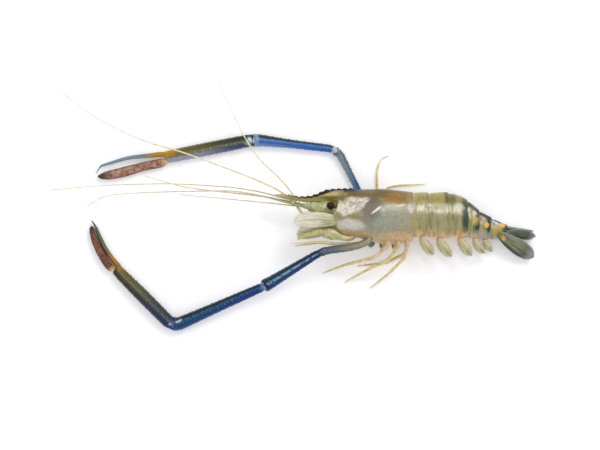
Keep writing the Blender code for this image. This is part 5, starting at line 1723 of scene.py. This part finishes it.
def makeEyeMaterial():
    made, tree, shader = newMaterial("eyeBlack", coat=0.35, coatRoughness=0.08, specular=0.2)
    place = bodyPlace(tree)[0]
    cells = addNode(tree, "ShaderNodeTexVoronoi", feature="F1")
    tree.links.new(place, cells.inputs["Vector"])
    cells.inputs["Scale"].default_value = 5.0
    rim = ramped(tree, mark(tree, "share"), 0.3, 0.0)
    colour = mixColour(tree, rim, rgb(44, 28, 20), rgb(104, 80, 50))
    tree.links.new(colour, shader.inputs["Base Color"])
    bump = addNode(tree, "ShaderNodeBump")
    bump.inputs["Distance"].default_value = 0.02 * mm
    tree.links.new(cells.outputs["Distance"], bump.inputs["Height"])
    tree.links.new(bump.outputs["Normal"], shader.inputs["Normal"])
    shader.inputs["Roughness"].default_value = 0.15
    return made


def makeEye(side, sign, stalkSkin, eyeSkin):
    foot, neck = np.array(headPoints(head["eyeStalk"], sign))
    eye = np.array(headPoints([head["eyeCentre"]], sign))[0]
    aim = (eye - neck) / np.linalg.norm(eye - neck)
    line = roundedLine([foot, neck, neck + aim * head["stalkReach"]], 2.0)
    radius = head["stalkRadius"]
    profile = [(0.0, radius * 0.8, radius * 0.8, 0.0), (1.0, radius, radius, 0.0)]
    limbPiece("eyeStalk" + side, line, profile, 40, 0.2, stalkSkin, ("eye_stalk_" + side,), "eye_stalk",
              blunt=0.2)
    seat = line[-1] - aim * head["eyeSunk"]
    size = head["eyeRadius"]
    depth = head["eyeDepth"] * size
    profile = roundProfile(size, depth, depth - size, 24, 0.004)
    limbPiece("eye" + side.capitalize(), np.array([seat, seat + aim * depth]), profile, 48, 0.15, eyeSkin,
              ("eye_" + side,), "eye", blunt=0.1)


def makeHead():
    stalkSkin = makeHeadMaterial("stalkSkin", (150, 138, 74), (190, 178, 112), (84, 72, 36))
    baseSkin = makeHeadMaterial("feelerBaseSkin", (178, 177, 112), (224, 219, 164), (170, 172, 134))
    coreSkin = makeHeadMaterial("headSkin", (172, 166, 92), (214, 208, 142), (180, 176, 118))
    for name, points, profile in head["cores"]:
        line = roundedLine(headPoints(points, 1.0), 5.0)
        limbPiece(name, line, profile, 64, 0.4, coreSkin, (), "head_base", blunt=0.8)
    scaleSkin = makeScaleMaterial()
    hairSkin = makeHairMaterial("scaleHair", (214, 200, 150), (240, 230, 196))
    eyeSkin = makeEyeMaterial()
    for side, sign in flanks:
        makeEye(side, sign, stalkSkin, eyeSkin)
        for kind, (points, profile) in head["bases"].items():
            line = roundedLine(headPoints(points, sign), 5.0)
            limbPiece(kind + "Base" + side, line, profile, 40, 0.35, baseSkin, ("%s_base_%s" % (kind, side),),
                      "head_base")
        line = roundedLine(headPoints(head["scaleLines"][side], sign), 8.0)
        profile = bladeProfile(head["scaleWidth"], head["scaleThick"], root=0.4)
        rings = limbPiece("antennaScale" + side, line, profile, 60, 0.35, scaleSkin,
                          ("antenna_scale_" + side,), "scale", relief=bladeRelief)
        makeFringe("scaleHair" + side, rings, 0.3, head["scaleHair"], hairSkin)


makeHead()
print("head ready")

# long feelers
whips = {
    "rootDepth": 1.3,
    "sides": 10,
    "spacing": 0.9,
    "rows": [
        ("antenna_right",
         [(-85.7, -1.2, 15.7), (-92.0, 9.0, 15.0), (-96.0, 18.0, 15.5), (-108.0, 32.0, 17.0),
          (-120.0, 43.2, 17.0), (-129.6, 56.0, 16.0), (-137.6, 70.4, 12.0), (-155.2, 108.8, 1.6)], 0.75),
        ("antenna_left",
         [(-85.7, -1.2, 28.0), (-89.5, 3.0, 25.2), (-92.5, 7.6, 21.9), (-96.5, 12.0, 19.6),
          (-104.0, 18.6, 18.6), (-124.8, 28.8, 18.0), (-156.0, 40.8, 17.0), (-185.6, 51.4, 15.6),
          (-209.6, 58.4, 13.0), (-249.6, 76.8, 7.0), (-288.0, 104.8, 1.4)], 0.75),
        ("antennule_left_outer",
         [(-87.7, 7.5, 25.7), (-101.6, 11.0, 25.0), (-117.6, 15.2, 23.0), (-137.6, 17.6, 20.0),
          (-177.6, 22.4, 14.0), (-213.6, 32.0, 11.6)], 0.8),
        ("antennule_left_inner",
         [(-87.4, 9.3, 24.3), (-104.0, 14.4, 25.8), (-126.4, 20.0, 26.0), (-150.4, 23.2, 20.0),
          (-199.2, 25.6, 9.0), (-240.0, 24.6, 5.0), (-289.6, 20.8, 1.2)], 0.55),
        ("antennule_right_outer",
         [(-87.4, 9.0, 18.4), (-110.0, 14.0, 15.0), (-150.0, 20.0, 9.0), (-205.0, 19.0, 3.6),
          (-243.0, 16.4, 1.8), (-260.0, 8.0, 1.2)], 0.6),
        ("antennule_right_inner",
         [(-87.7, 7.3, 19.8), (-108.0, 9.6, 16.4), (-140.0, 12.8, 11.0), (-186.0, 17.2, 4.0)], 0.5),
    ],
}


def makeWhipMaterial(name, root, middle, tip):
    made, tree, shader = newMaterial(name, coat=0.2, coatRoughness=0.2, subsurface=0.1)
    place = bodyPlace(tree)[0]
    share = mark(tree, "share")
    colour = mixColour(tree, ramped(tree, share, 0.05, 0.35), rgb(*root), rgb(*middle))
    colour = paint(tree, colour, ramped(tree, share, 0.4, 1.0), tip)
    colour = grainy(tree, place, colour, 0.4, 0.6, Dark=rgb(190, 185, 170), Detail=3.0, Fineness=0.55,
                    Low=0.35, High=0.65)
    wetSkin(tree, shader, place, colour, 3.0, 0.03, 0.04, 0.4)
    return made


def makeWhips():
    feelerSkin = makeWhipMaterial("feelerSkin", (230, 216, 166), (250, 236, 198), (254, 240, 218))
    paleSkin = makeWhipMaterial("antennuleSkin", (168, 164, 112), (220, 208, 164), (250, 230, 206))
    for name, points, thick in whips["rows"]:
        line = softLine(sunkRoot(points, whips["rootDepth"]), 240)
        profile = [(0.0, thick, thick, 0.0), (0.3, thick * 0.8, thick * 0.8, 0.0), (1.0, 0.28, 0.28, 0.0)]
        skin, slot = (feelerSkin, "feeler") if name.startswith("antenna_") else (paleSkin, "antennule")
        limbPiece(name.replace("_", ""), line, profile, whips["sides"], whips["spacing"], skin, (name,), slot,
                  blunt=0.2)


makeWhips()
print("feelers ready")
